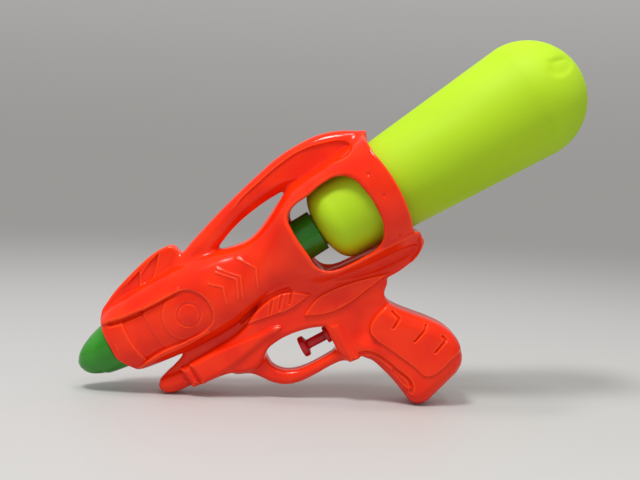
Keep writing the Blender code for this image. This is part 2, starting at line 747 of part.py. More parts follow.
def hollow():
    """Join the hollows of the body, less the screw bosses and the pump's saddles."""
    lip_end = NOZZLE_SEAT + NOZZLE_LIP
    space = barrel("barrel_hollow", SHELL_WALL, lip_end, BULKHEAD_FRONT + WELD)
    keel = outline("keel_hollow", KEEL_OUTLINE, KEEL_HALF_WIDTH, KEEL_EDGE, SHELL_WALL)
    cut(keel, barrel("barrel_floor"), solver=SHELL_SOLVER)
    pass_half = KEEL_HALF_WIDTH - SHELL_WALL - CLEARANCE
    pass_low = (HOSE_PASS_START, -pass_half, HOSE_PASS_FLOOR)
    pass_high = (BULKHEAD_FRONT - CLEARANCE, pass_half, HOSE_PASS_TOP)
    union(
        keel,
        outline("grip_hollow", GRIP_OUTLINE, GRIP_HALF_WIDTH, GRIP_EDGE, SHELL_WALL),
        block("hose_pass", pass_low, pass_high),
        space,
        solver=SHELL_SOLVER,
    )
    boss_radius = SCREW_HEAD_RADIUS + CLEARANCE + SCREW_BOSS_WALL
    for u, v in SCREW_PLACES:
        boss = rod("boss", boss_radius, -whole_length, whole_length, screw_place(u, v))
        cut(keel, boss, solver=SHELL_SOLVER)
    saddle_height = BORE_RADIUS + CYLINDER_WALL + SADDLE_RIM
    for station in (cylinder_start + SADDLE_OFFSET, port_station - tower_radius - SADDLE_OFFSET):
        low = (station - SHELL_WALL / 2, -GRIP_HALF_WIDTH, PUMP_AXIS - saddle_height)
        high = (station + SHELL_WALL / 2, GRIP_HALF_WIDTH, PUMP_AXIS + saddle_height)
        cut(keel, block("saddle", low, high), solver=SHELL_SOLVER)
    return keel


def make_shells(material):
    """Build the body once, hollow it, cut its seats and part it at the seam."""
    body = cut(outer_body(), hollow(), solver=SHELL_SOLVER)
    throat = cap_start + CAP_BULKHEAD_DEPTH
    reach = CRADLE_STATIONS[-1] + CRADLE_OVERCUT
    stations = [throat + (reach - throat) * k / CRADLE_STEPS for k in range(CRADLE_STEPS + 1)]
    profile = [(0.0, reach)]
    profile += [(cradle_radius(station), station) for station in reversed(stations)]
    profile.append((0.0, throat))
    lip_end = NOZZLE_SEAT + NOZZLE_LIP
    flange_start = cap_start + CAP_FLANGE_THICKNESS
    flange_end = flange_start + CAP_FLANGE_THICKNESS
    cut(
        body,
        turned("cradle", profile, tank_place, BARREL_SIDES),
        rod("cap_seat", CAP_RADIUS + CLEARANCE, cap_start - 2 * OVERCUT, throat + OVERCUT, tank_place,
            TURN_STEPS),
        rod("flange_seat", CAP_RADIUS + CAP_FLANGE_HEIGHT + CLEARANCE, flange_start - CLEARANCE,
            flange_end + CLEARANCE, tank_place, TURN_STEPS),
        rod("nozzle_hole", NOZZLE_RADIUS - NOZZLE_GROOVE_DEPTH + CLEARANCE, NOZZLE_SEAT - 2 * OVERCUT,
            lip_end + OVERCUT, barrel_place, TURN_STEPS),
        rod("gland_hole", GLAND_NECK_RADIUS + CLEARANCE, HOUSING_FACE - OVERCUT, cylinder_start + OVERCUT,
            pump_place),
        rod("cylinder_seat", BORE_RADIUS + CYLINDER_WALL + CLEARANCE, cylinder_start - CLEARANCE,
            cylinder_end + CLEARANCE, pump_place, TURN_STEPS),
        solver=SHELL_SOLVER,
    )
    for u, v in SCREW_PLACES:
        place = screw_place(u, v)
        cut(
            body,
            rod("pilot", SCREW_SHANK_RADIUS + CLEARANCE, -SCREW_REACH - CLEARANCE, SCREW_SEAT, place),
            rod("counterbore", SCREW_HEAD_RADIUS + CLEARANCE, SCREW_SEAT - CLEARANCE, whole_length, place),
            solver=SHELL_SOLVER,
        )
    for name, side in (("left_shell", -1), ("right_shell", 1)):
        shell = copy_of(body, name)
        far = whole_length * side
        near = SEAM_GAP / 2 * side
        half = block("half", (-whole_length, min(far, near), -whole_length),
                     (whole_length, max(far, near), whole_length))
        combine(shell, half, "INTERSECT", SHELL_SOLVER)
        keep(shell, material, root)
    bpy.data.objects.remove(body, do_unlink=True)


# Nozzle and jet


def make_nozzle(green, white):
    """Turn the nose and the jet insert that the outlet hose pushes on to."""
    groove = NOZZLE_RADIUS - NOZZLE_GROOVE_DEPTH
    groove_end = NOZZLE_SEAT + NOZZLE_LIP + CLEARANCE
    rear = groove_end + NOZZLE_FLANGE_THICKNESS
    socket = JET_RADIUS + CLEARANCE
    socket_end = NOZZLE_SEAT - NOZZLE_SOCKET_DEPTH
    nose = []
    for k in range(NOSE_STEPS + 1):
        angle = math.pi / 2 * k / NOSE_STEPS
        nose.append((NOZZLE_TIP_RADIUS + (NOZZLE_RADIUS - NOZZLE_TIP_RADIUS) * math.cos(angle),
                     NOZZLE_TIP + (NOZZLE_SEAT - CLEARANCE - NOZZLE_TIP) * (1 - math.sin(angle))))
    profile = [(socket, rear), (NOZZLE_RADIUS - CLEARANCE, rear), (NOZZLE_RADIUS - CLEARANCE, groove_end)]
    profile += [(groove, groove_end), (groove, NOZZLE_SEAT - CLEARANCE)]
    profile += nose
    profile += [(NOZZLE_HOLE_RADIUS, NOZZLE_TIP), (NOZZLE_HOLE_RADIUS, socket_end), (socket, socket_end)]
    keep(turned("nozzle_cone", profile, barrel_place), green, root)

    flange = rear + CLEARANCE
    flange_end = flange + JET_FLANGE_THICKNESS
    jet_start = socket_end + CLEARANCE
    profile = [
        (JET_HOLE_RADIUS, flange_end + BARB_LENGTH), (BARB_RADIUS, flange_end + BARB_LENGTH),
        (BARB_RADIUS, flange_end), (JET_FLANGE_RADIUS, flange_end), (JET_FLANGE_RADIUS, flange),
        (JET_RADIUS, flange), (JET_RADIUS, jet_start), (JET_HOLE_RADIUS, jet_start),
    ]
    keep(turned("nozzle_jet", profile, barrel_place, SMALL_STEPS), white, root)
    return flange_end


# Pump, trigger and valves


def make_pump(white, red, rubber, steel):
    """Build the cylinder with its valve towers, the gland and everything on the trigger."""
    cylinder = rod("pump_cylinder", BORE_RADIUS + CYLINDER_WALL, cylinder_start, cylinder_end, pump_place,
                   TURN_STEPS)
    union(
        cylinder,
        rod("tower", tower_radius, 0.0, tower_top, valve_place_up),
        rod("tower", tower_radius, 0.0, tower_top, valve_place_down),
    )
    cut(cylinder, rod("bore", BORE_RADIUS, cylinder_start - OVERCUT, bore_end, pump_place, TURN_STEPS))
    for place in (valve_place_up, valve_place_down):
        cut(
            cylinder,
            rod("socket", socket_radius, ledge, tower_top + OVERCUT, place),
            rod("port", PORT_RADIUS, BORE_RADIUS / 2, ledge + OVERCUT, place),
        )
    keep(cylinder, white, root)

    bore = ROD_RADIUS + CLEARANCE
    plug = BORE_RADIUS - CLEARANCE
    flange_start = gland_neck_start - GLAND_FLANGE_THICKNESS
    profile = (
        (bore, plug_end), (plug, plug_end), (plug, cylinder_start), (GLAND_NECK_RADIUS, cylinder_start),
        (GLAND_NECK_RADIUS, gland_neck_start), (GLAND_FLANGE_RADIUS, gland_neck_start),
        (GLAND_FLANGE_RADIUS, flange_start), (bore, flange_start),
    )
    keep(turned("pump_gland", profile, pump_place), red, root)

    wall = PISTON_LENGTH - SPRING_POCKET_DEPTH
    rod_end = piston_start - CLEARANCE
    spigot_end = piston_start + wall - CLEARANCE
    front = button_end - BUTTON_THICKNESS
    profile = (
        (0.0, spigot_end), (ROD_SPIGOT_RADIUS, spigot_end), (ROD_SPIGOT_RADIUS, rod_end),
        (ROD_RADIUS, rod_end), (ROD_RADIUS, button_end), (BUTTON_RADIUS - BUTTON_CHAMFER, button_end),
        (BUTTON_RADIUS, button_end - BUTTON_CHAMFER), (BUTTON_RADIUS, front + BUTTON_CHAMFER),
        (BUTTON_RADIUS - BUTTON_CHAMFER, front), (0.0, front),
    )
    keep(turned("trigger", profile, pump_place), red, trigger_slide)

    seal_radius = BORE_RADIUS - CLEARANCE / 2 - SEAL_SECTION_RADIUS
    floor = seal_radius - SEAL_SECTION_RADIUS - CLEARANCE
    seal_station = piston_start + wall / 2
    half_groove = SEAL_SECTION_RADIUS + CLEARANCE
    spigot_bore = ROD_SPIGOT_RADIUS + CLEARANCE
    pocket = SPRING_MEAN_RADIUS + SPRING_WIRE_RADIUS + CLEARANCE
    profile = (
        (plug, piston_end), (plug, seal_station + half_groove), (floor, seal_station + half_groove),
        (floor, seal_station - half_groove), (plug, seal_station - half_groove), (plug, piston_start),
        (spigot_bore, piston_start), (spigot_bore, piston_start + wall), (pocket, piston_start + wall),
        (pocket, piston_end),
    )
    keep(turned("piston", profile, pump_place), white, trigger_slide)
    ring = []
    for k in range(CURL_POINTS):
        angle = 2 * math.pi * k / CURL_POINTS
        ring.append((seal_radius + SEAL_SECTION_RADIUS * math.cos(angle),
                     seal_station + SEAL_SECTION_RADIUS * math.sin(angle)))
    keep(turned("piston_seal", ring, pump_place), rubber, trigger_slide)
    spring = coil("return_spring", SPRING_MEAN_RADIUS, SPRING_WIRE_RADIUS, piston_start + wall + CLEARANCE,
                  bore_end - CLEARANCE, SPRING_TURNS, pump_place)
    keep(spring, steel, root)


def make_valve(kind, place, ball_height, spring_start, plug_start, barb_place, carrier_empty, white, steel):
    """Build one check valve: its fitting with a side barb, its ball and its spring."""
    plug = rod(f"{kind}_fitting", socket_radius - CLEARANCE, plug_start, tower_top + OVERCUT, place)
    cap_start_height = tower_top + CLEARANCE
    union(
        plug,
        rod("fitting_cap", tower_radius, cap_start_height, cap_start_height + FITTING_CAP_HEIGHT, place),
        rod("barb", BARB_RADIUS, 0.0, tower_radius + BARB_LENGTH, barb_place),
    )
    cut(
        plug,
        rod("way", PORT_RADIUS, plug_start - OVERCUT, elbow_height, place),
        rod("side_way", SIDE_PORT_RADIUS, 0.0, tower_radius + BARB_LENGTH + OVERCUT, barb_place),
    )
    keep(plug, white, root)

    mesh = bpy.data.meshes.new(f"{kind}_ball")
    bm = bmesh.new()
    bmesh.ops.create_uvsphere(bm, u_segments=SMALL_STEPS, v_segments=BALL_RINGS, radius=VALVE_BALL_RADIUS)
    bm.transform(place @ Matrix.Translation((ball_height, 0.0, 0.0)))
    bm.to_mesh(mesh)
    bm.free()
    keep(as_guide(bpy.data.objects.new(f"{kind}_ball", mesh)), steel, carrier_empty)
    mean_radius = VALVE_BALL_RADIUS - 2 * VALVE_SPRING_WIRE_RADIUS
    spring = coil(f"{kind}_spring", mean_radius, VALVE_SPRING_WIRE_RADIUS, spring_start,
                  spring_start + VALVE_SPRING_LENGTH, VALVE_SPRING_TURNS, place)
    keep(spring, steel, root)


# Tank, cap and hoses


def make_tank(yellow, green, rubber):
    """Build the tank with its threaded neck, the cap it screws into and the gasket between."""
    profile = tank_side(0.0, NECK_RADIUS)
    profile += [(NECK_RADIUS, neck_start), (NECK_BORE_RADIUS, neck_start)]
    profile += reversed(tank_side(TANK_WALL, NECK_BORE_RADIUS))
    tank = turned("tank", profile, tank_place, TANK_STEPS)
    thread_start = neck_start + THREAD_PITCH / 2
    union(tank, thread("neck_thread", NECK_RADIUS, NECK_RADIUS + THREAD_HEIGHT, thread_start, THREAD_TURNS,
                       tank_place))
    keep(tank, yellow, tank_slide)

    spout_start = cap_start - CAP_SPOUT_LENGTH
    spigot_end = cap_inside + BARB_LENGTH
    flange_start = cap_start + CAP_FLANGE_THICKNESS
    flange_end = flange_start + CAP_FLANGE_THICKNESS
    flange = CAP_RADIUS + CAP_FLANGE_HEIGHT
    profile = (
        (0.0, spout_start + CAP_END_WALL), (PORT_RADIUS, spout_start + CAP_END_WALL),
        (PORT_RADIUS, spigot_end), (BARB_RADIUS, spigot_end), (BARB_RADIUS, cap_inside),
        (cap_bore_radius, cap_inside), (cap_bore_radius, cap_end), (CAP_RADIUS, cap_end),
        (CAP_RADIUS, flange_end), (flange, flange_end), (flange, flange_start), (CAP_RADIUS, flange_start),
        (CAP_RADIUS, cap_start), (CAP_SPOUT_RADIUS, cap_start), (CAP_SPOUT_RADIUS, spout_start),
        (0.0, spout_start),
    )
    cap = turned("tank_cap", profile, tank_place)
    union(
        cap,
        thread("cap_thread", cap_bore_radius, cap_bore_radius - THREAD_HEIGHT - CLEARANCE / 2,
               thread_start + THREAD_PITCH / 2, CAP_THREAD_TURNS, tank_place),
        rod("spout", BARB_RADIUS, 0.0, CAP_SPOUT_DROP, spout_place),
    )
    cut(cap, rod("spout_way", SIDE_PORT_RADIUS, 0.0, CAP_SPOUT_DROP + OVERCUT, spout_place))
    keep(cap, green, root)

    gasket_start = cap_inside + CLEARANCE
    gasket_end = gasket_start + GASKET_THICKNESS
    outer = NECK_RADIUS + THREAD_HEIGHT
    profile = ((outer, gasket_end), (outer, gasket_start), (NECK_BORE_RADIUS, gasket_start),
               (NECK_BORE_RADIUS, gasket_end))
    keep(turned("cap_gasket", profile, tank_place), rubber, tank_turn)


def make_hoses(clear, jet_flange_end):
    """Run the dip tube, the suction hose and the outlet hose between their barbs."""
    def metres(route):
        return [tuple(value * MM for value in point) for point in route]

    inside = cap_inside + CLEARANCE
    route = [tank_place @ Vector((inside + reach, 0.0, 0.0)) for reach in (0.0, BARB_LENGTH)]
    route += [tank_place @ Vector(point) for point in metres(DIP_ROUTE)]
    keep(hose("dip_tube", [tuple(point) for point in route]), clear, root)

    route = [tuple(spout_place @ Vector((CAP_SPOUT_DROP - BARB_LENGTH, 0.0, 0.0))),
             tuple(spout_place @ Vector((CAP_SPOUT_DROP, 0.0, 0.0)))]
    route += metres(SUCTION_ROUTE)
    for reach in (BARB_LENGTH, CLEARANCE):
        route.append(tuple(inlet_barb @ Vector((tower_radius + reach, 0.0, 0.0))))
    keep(hose("suction_tube", route), clear, root)

    route = []
    for reach in (CLEARANCE, BARB_LENGTH):
        route.append(tuple(outlet_barb @ Vector((tower_radius + reach, 0.0, 0.0))))
    route += metres(OUTLET_ROUTE)
    for station in (jet_flange_end + BARB_LENGTH, jet_flange_end + CLEARANCE):
        route.append((station, 0.0, NOZZLE_AXIS))
    keep(hose("outlet_tube", route), clear, root)


def make_screws(steel):
    """Turn the body screws, with their heads on the right side."""
    head_end = SCREW_SEAT + SCREW_HEAD_HEIGHT
    profile = (
        (0.0, head_end), (SCREW_HEAD_TOP_RADIUS, head_end),
        (SCREW_HEAD_RADIUS, SCREW_SEAT + SCREW_HEAD_HEIGHT / 2), (SCREW_HEAD_RADIUS, SCREW_SEAT),
        (SCREW_SHANK_RADIUS, SCREW_SEAT), (SCREW_SHANK_RADIUS, -SCREW_REACH + SCREW_POINT_LENGTH),
        (0.0, -SCREW_REACH),
    )
    for number, (u, v) in enumerate(SCREW_PLACES, 1):
        keep(turned(f"body_screw_{number}", profile, screw_place(u, v), SCREW_STEPS), steel, root)


# Standing pose


def stand(empty):
    """Tilt the squirter on to its rail tip and grip toe, with its base middle at the origin."""
    places = [
        vertex.co.copy() for item in parts.objects if item.type == "MESH" for vertex in item.data.vertices
    ]
    front = [place for place in places if place.x < HOUSING_FACE]
    rear = [place for place in places if place.x >= HOUSING_FACE]

    def lowest(group, tilt):
        return min(place.x * math.sin(tilt) + place.z * math.cos(tilt) for place in group)

    low_tilt = 0.0
    high_tilt = STAND_TILT_LIMIT
    for _ in range(STAND_ROUNDS):
        tilt = (low_tilt + high_tilt) / 2
        if lowest(front, tilt) > lowest(rear, tilt):
            low_tilt = tilt
        else:
            high_tilt = tilt
    turn = Matrix.Rotation(-tilt, 4, "Y")
    turned_places = [turn @ place for place in places]
    left = min(place.x for place in turned_places)
    right = max(place.x for place in turned_places)
    floor = min(place.z for place in turned_places)
    empty.matrix_basis = Matrix.Translation((-(left + right) / 2, 0.0, -floor)) @ turn


orange = finish("orange_plastic", (0.90, 0.06, 0.02), 0.25)
green_plastic = finish("green_plastic", (0.03, 0.28, 0.04), 0.25)
yellow_plastic = finish("yellow_plastic", (0.55, 0.85, 0.05), 0.40)
red_plastic = finish("red_plastic", (0.33, 0.01, 0.02), 0.30)
white_plastic = finish("white_plastic", (0.80, 0.80, 0.78), 0.40)
clear_hose = finish("clear_hose", (0.75, 0.78, 0.78), 0.35)
black_rubber = finish("black_rubber", (0.02, 0.02, 0.02), 0.60)
steel_metal = finish("steel", (0.60, 0.60, 0.60), 0.30)

root = carrier("water_squirter_root", Matrix.Identity(4))
trigger_slide = carrier("trigger_slide", pump_place, root)
tank_turn = carrier("tank_turn", tank_place, root)
tank_slide = carrier("tank_slide", tank_place, root)
inlet_lift = carrier("inlet_lift", valve_place_up, root)
outlet_lift = carrier("outlet_lift", valve_place_down, root)

spout_place = tank_place @ Matrix.Translation((cap_start - CAP_SPOUT_LENGTH / 2, 0.0, 0.0)) @ Matrix.Rotation(
    math.pi / 2, 4, "Y")
inlet_barb = at(port_station, PUMP_AXIS + elbow_height, math.pi)
outlet_barb = at(port_station, PUMP_AXIS - elbow_height)

make_shells(orange)
jet_end = make_nozzle(green_plastic, white_plastic)
make_pump(white_plastic, red_plastic, black_rubber, steel_metal)
make_valve("inlet", valve_place_up, inlet_ball_height, ledge + CLEARANCE, inlet_plug, inlet_barb, inlet_lift,
           white_plastic, steel_metal)
make_valve("outlet", valve_place_down, outlet_ball_height, outlet_spring_start, outlet_plug, outlet_barb,
           outlet_lift, white_plastic, steel_metal)
make_tank(yellow_plastic, green_plastic, black_rubber)
make_hoses(clear_hose, jet_end)
make_screws(steel_metal)
stand(root)
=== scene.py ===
"""Water squirter: the finished look of the toy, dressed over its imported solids.

The toy is drawn in its own side plane, in millimetres: u runs from the nose to
the tail along the barrel, v runs up, and w runs out from the seam. The stance
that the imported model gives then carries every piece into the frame.
"""

from __future__ import annotations

import json
import logging
import math
from contextlib import contextmanager
from dataclasses import dataclass, field
from enum import Enum
from functools import partial
from typing import Callable, Iterator, Sequence

import bpy
import numpy as np
from mathutils import Matrix, Vector

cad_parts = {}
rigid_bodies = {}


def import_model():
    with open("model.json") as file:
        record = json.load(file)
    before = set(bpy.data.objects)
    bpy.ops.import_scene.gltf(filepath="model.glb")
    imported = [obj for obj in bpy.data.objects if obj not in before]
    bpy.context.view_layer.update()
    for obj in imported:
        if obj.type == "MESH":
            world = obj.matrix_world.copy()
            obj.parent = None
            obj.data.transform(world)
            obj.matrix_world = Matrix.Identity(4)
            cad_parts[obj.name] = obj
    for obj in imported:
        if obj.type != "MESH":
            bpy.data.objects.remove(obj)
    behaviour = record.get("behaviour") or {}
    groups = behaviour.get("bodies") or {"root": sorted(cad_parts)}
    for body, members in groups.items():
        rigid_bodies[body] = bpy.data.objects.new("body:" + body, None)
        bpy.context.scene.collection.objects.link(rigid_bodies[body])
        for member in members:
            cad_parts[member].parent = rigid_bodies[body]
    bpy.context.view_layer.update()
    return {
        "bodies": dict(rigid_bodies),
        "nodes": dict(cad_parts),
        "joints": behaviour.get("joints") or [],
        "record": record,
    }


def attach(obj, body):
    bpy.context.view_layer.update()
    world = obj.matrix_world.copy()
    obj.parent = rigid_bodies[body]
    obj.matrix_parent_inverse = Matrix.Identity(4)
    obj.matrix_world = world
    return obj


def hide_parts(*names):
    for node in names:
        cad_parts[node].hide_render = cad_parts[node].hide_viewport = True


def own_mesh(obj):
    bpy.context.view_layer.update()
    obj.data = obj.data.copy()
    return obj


log = logging.getLogger("water_squirter")

# Metres in a millimetre, and in millimetres what counts as far away and as one place
MM = 0.001
FAR = 99.0
WELD = 0.0005

# Mark of an outline's point where the line has a corner
CORNER = True

QUARTER = math.pi / 2
FULL_TURN = 2 * math.pi
EDGE_LAYER = "edge"

Grid = np.ndarray
Colour = tuple[float, float, float]
Profile = Sequence[tuple[float, float]]
Piece = bpy.types.Object
Socket = bpy.types.NodeSocket


class Side(Enum):
    """The two halves of the body, by the sign of y."""

    LEFT = -1
    RIGHT = 1


class Held(Enum):
    """The end of a spring that stays where it is."""

    START = "start"
    END = "end"


class Body(Enum):
    """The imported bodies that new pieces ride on."""

    MAIN = "squirter_body"
    TRIGGER = "trigger_rod"
    TANK = "tank_shell"


class Slot(Enum):
    """The record's material slots."""

    BODY = "body_plastic"
    GREEN = "green_plastic"
    TANK = "tank_plastic"
    TRIGGER = "trigger_plastic"
    INNER = "inner_plastic"
    HOSE = "hose"
    RUBBER = "rubber"
    STEEL = "steel"


# Stance


@dataclass(frozen=True)
class Stance:
    """Where the toy's side plane stands in the frame."""

    tilt: float
    shift: Vector

    @classmethod
    def from_frame(cls, frame: dict, cap_station: float) -> Stance:
        """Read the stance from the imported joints.

        Args:
            cap_station: The u of the tank joint's point.

        Returns:
            The stance of the side plane.
        """
        joints = {joint["name"]: joint for joint in frame["joints"]}
        axis = joints["trigger_push"]["axis"]
        tilt = math.atan2(axis[2], axis[0])
        along = Vector((math.cos(tilt), 0.0, math.sin(tilt)))
        return cls(tilt, Vector(joints["tank_turn"]["pos_m"]) - along * cap_station * MM)

    def matrix(self) -> Matrix:
        """Give the matrix from the side plane, in millimetres, to the frame."""
        turn = Matrix.Rotation(-self.tilt, 4, "Y")
        return Matrix.Translation(self.shift) @ turn @ Matrix.Scale(MM, 4)

    def height(self, u: Grid, v: Grid) -> Grid:
        """Give how high points of the side plane stand over the floor, in millimetres."""
        return self.shift.z / MM + u * math.sin(self.tilt) + v * math.cos(self.tilt)


# Curves and distances


def ease(low: float, high: float, value: Grid) -> Grid:
    """Ease from 0 at low to 1 at high."""
    t = np.clip((value - low) / (high - low), 0.0, 1.0)
    return t * t * (3.0 - 2.0 * t)


def fade(low: float, high: float, value: Grid) -> Grid:
    """Fade from 1 at low to 0 at high."""
    return 1 - ease(low, high, value)


def join_smooth(a: Grid, b: Grid, blend: float) -> Grid:
    """Join two distances with a fillet of about the blend's size."""
    h = np.clip(0.5 + 0.5 * (b - a) / blend, 0.0, 1.0)
    return b + (a - b) * h - blend * h * (1.0 - h)


def share_smooth(a: Grid, b: Grid, blend: float) -> Grid:
    """Keep what two distances share, with a rounded edge of about the blend's size."""
    return -join_smooth(-a, -b, blend)


def smooth_row(stations: Grid, values: Grid, at: Grid) -> Grid:
    """Run a smooth curve through values at uneven stations and read it.

    Args:
        stations: Where the values are given, rising.
        values: The given values.
        at: Where the curve is read.

    Returns:
        The curve's values there, held at both ends.
    """
    slopes = np.gradient(values, stations)
    at = np.clip(at, stations[0], stations[-1])
    k = np.clip(np.searchsorted(stations, at) - 1, 0, len(stations) - 2)
    span = stations[k + 1] - stations[k]
    t = (at - stations[k]) / span
    rise = values[k + 1] - values[k]
    bend_in = slopes[k] * span - rise
    bend_out = rise - slopes[k + 1] * span
    return values[k] + rise * t + t * (1 - t) * (bend_in * (1 - t) + bend_out * t)


def smooth_columns(rows: Sequence, at: Grid) -> list[Grid]:
    """Run a smooth curve through every column of a table, over the stations in its first, and read it."""
    table = np.array(rows)
    return [smooth_row(table[:, 0], column, at) for column in table.T[1:]]


def bores(size: Grid, along: Grid, rows: tuple) -> Grid:
    """Measure the distance to round bores on one axis.

    Args:
        size: The distance from the axis.
        along: The station along the axis.
        rows: Each bore's radius, middle and half length.

    Returns:
        The distance to the nearest bore.
    """
    gaps = [np.maximum(size - radius, np.abs(along - middle) - half) for radius, middle, half in rows]
    return np.minimum.reduce(gaps)


@dataclass(frozen=True)
class Outline:
    """A smooth line through points of the side plane, straight on both sides of a corner."""

    points: tuple
    closed: bool = True
    steps: int = 6
    fullness: float = 2.5614

    def handles(self) -> tuple[Grid, list]:
        """Shape the line at its points.

        Returns:
            The line's points, and the two handles that shape it at each.
        """
        knots = np.array([point[:2] for point in self.points], float)
        count = len(knots)
        handles = []
        for k, point in enumerate(self.points):
            before = knots[k - 1] if self.closed or k else knots[k]
            after = knots[(k + 1) % count] if self.closed or k < count - 1 else knots[k]
            back, ahead = knots[k] - before, after - knots[k]
            if len(point) > 2:
                handles.append((knots[k] - back / 3, knots[k] + ahead / 3))
                continue
            back_size, ahead_size = np.hypot(*back) + 1e-9, np.hypot(*ahead) + 1e-9
            lean = back / back_size + ahead / ahead_size
            reach = np.hypot(*lean) * self.fullness
            handles.append((knots[k] - lean * back_size / reach, knots[k] + lean * ahead_size / reach))
        return knots, handles

    def path(self) -> Grid:
        """Sample the line.

        Returns:
            Points along the line, which end before the first one where it is closed.
        """
        knots, handles = self.handles()
        count = len(knots)
        samples = []
        for k in range(count if self.closed else count - 1):
            after = (k + 1) % count
            frame = (knots[k], handles[k][1], handles[after][0], knots[after])
            for step in range(self.steps):
                t = step / self.steps
                weights = ((1 - t) ** 3, 3 * t * (1 - t) ** 2, 3 * t * t * (1 - t), t ** 3)
                samples.append(sum(weight * corner for weight, corner in zip(weights, frame)))
        if not self.closed:
            samples.append(knots[-1])
        return np.array(samples)

    def distance(self, u: Grid, v: Grid) -> Grid:
        """Measure how far places lie from the line.

        Args:
            u: Open grid of u.
            v: Open grid of v.

        Returns:
            The distance, below 0 inside a closed line.
        """
        path = self.path()
        ends = np.roll(path, -1, axis=0)
        last = len(path) if self.closed else -1
        best = np.full(np.broadcast(u, v).shape, FAR * FAR, np.float32)
        inside = np.zeros(best.shape, bool)
        for (first_u, first_v), (last_u, last_v) in zip(path[:last], ends):
            along_u, along_v = last_u - first_u, last_v - first_v
            length = along_u ** 2 + along_v ** 2 + 1e-12
            share = np.clip(((u - first_u) * along_u + (v - first_v) * along_v) / length, 0.0, 1.0)
            gap = (u - first_u - share * along_u) ** 2 + (v - first_v - share * along_v) ** 2
            np.minimum(best, gap, out=best)
            if self.closed and first_v != last_v:
                crosses = (first_v > v) != (last_v > v)
                inside ^= crosses & (u < along_u * (v - first_v) / along_v + first_u)
        best = np.sqrt(best)
        return np.where(inside, -best, best) if self.closed else best

    def box(self, margin: float) -> tuple:
        """Find the box round the line.

        Args:
            margin: How far the box stands off the line.

        Returns:
            The lowest and highest u, and the lowest and highest v.
        """
        path = self.path()
        low, high = path.min(axis=0) - margin, path.max(axis=0) + margin
        return (low[0], high[0]), (low[1], high[1])


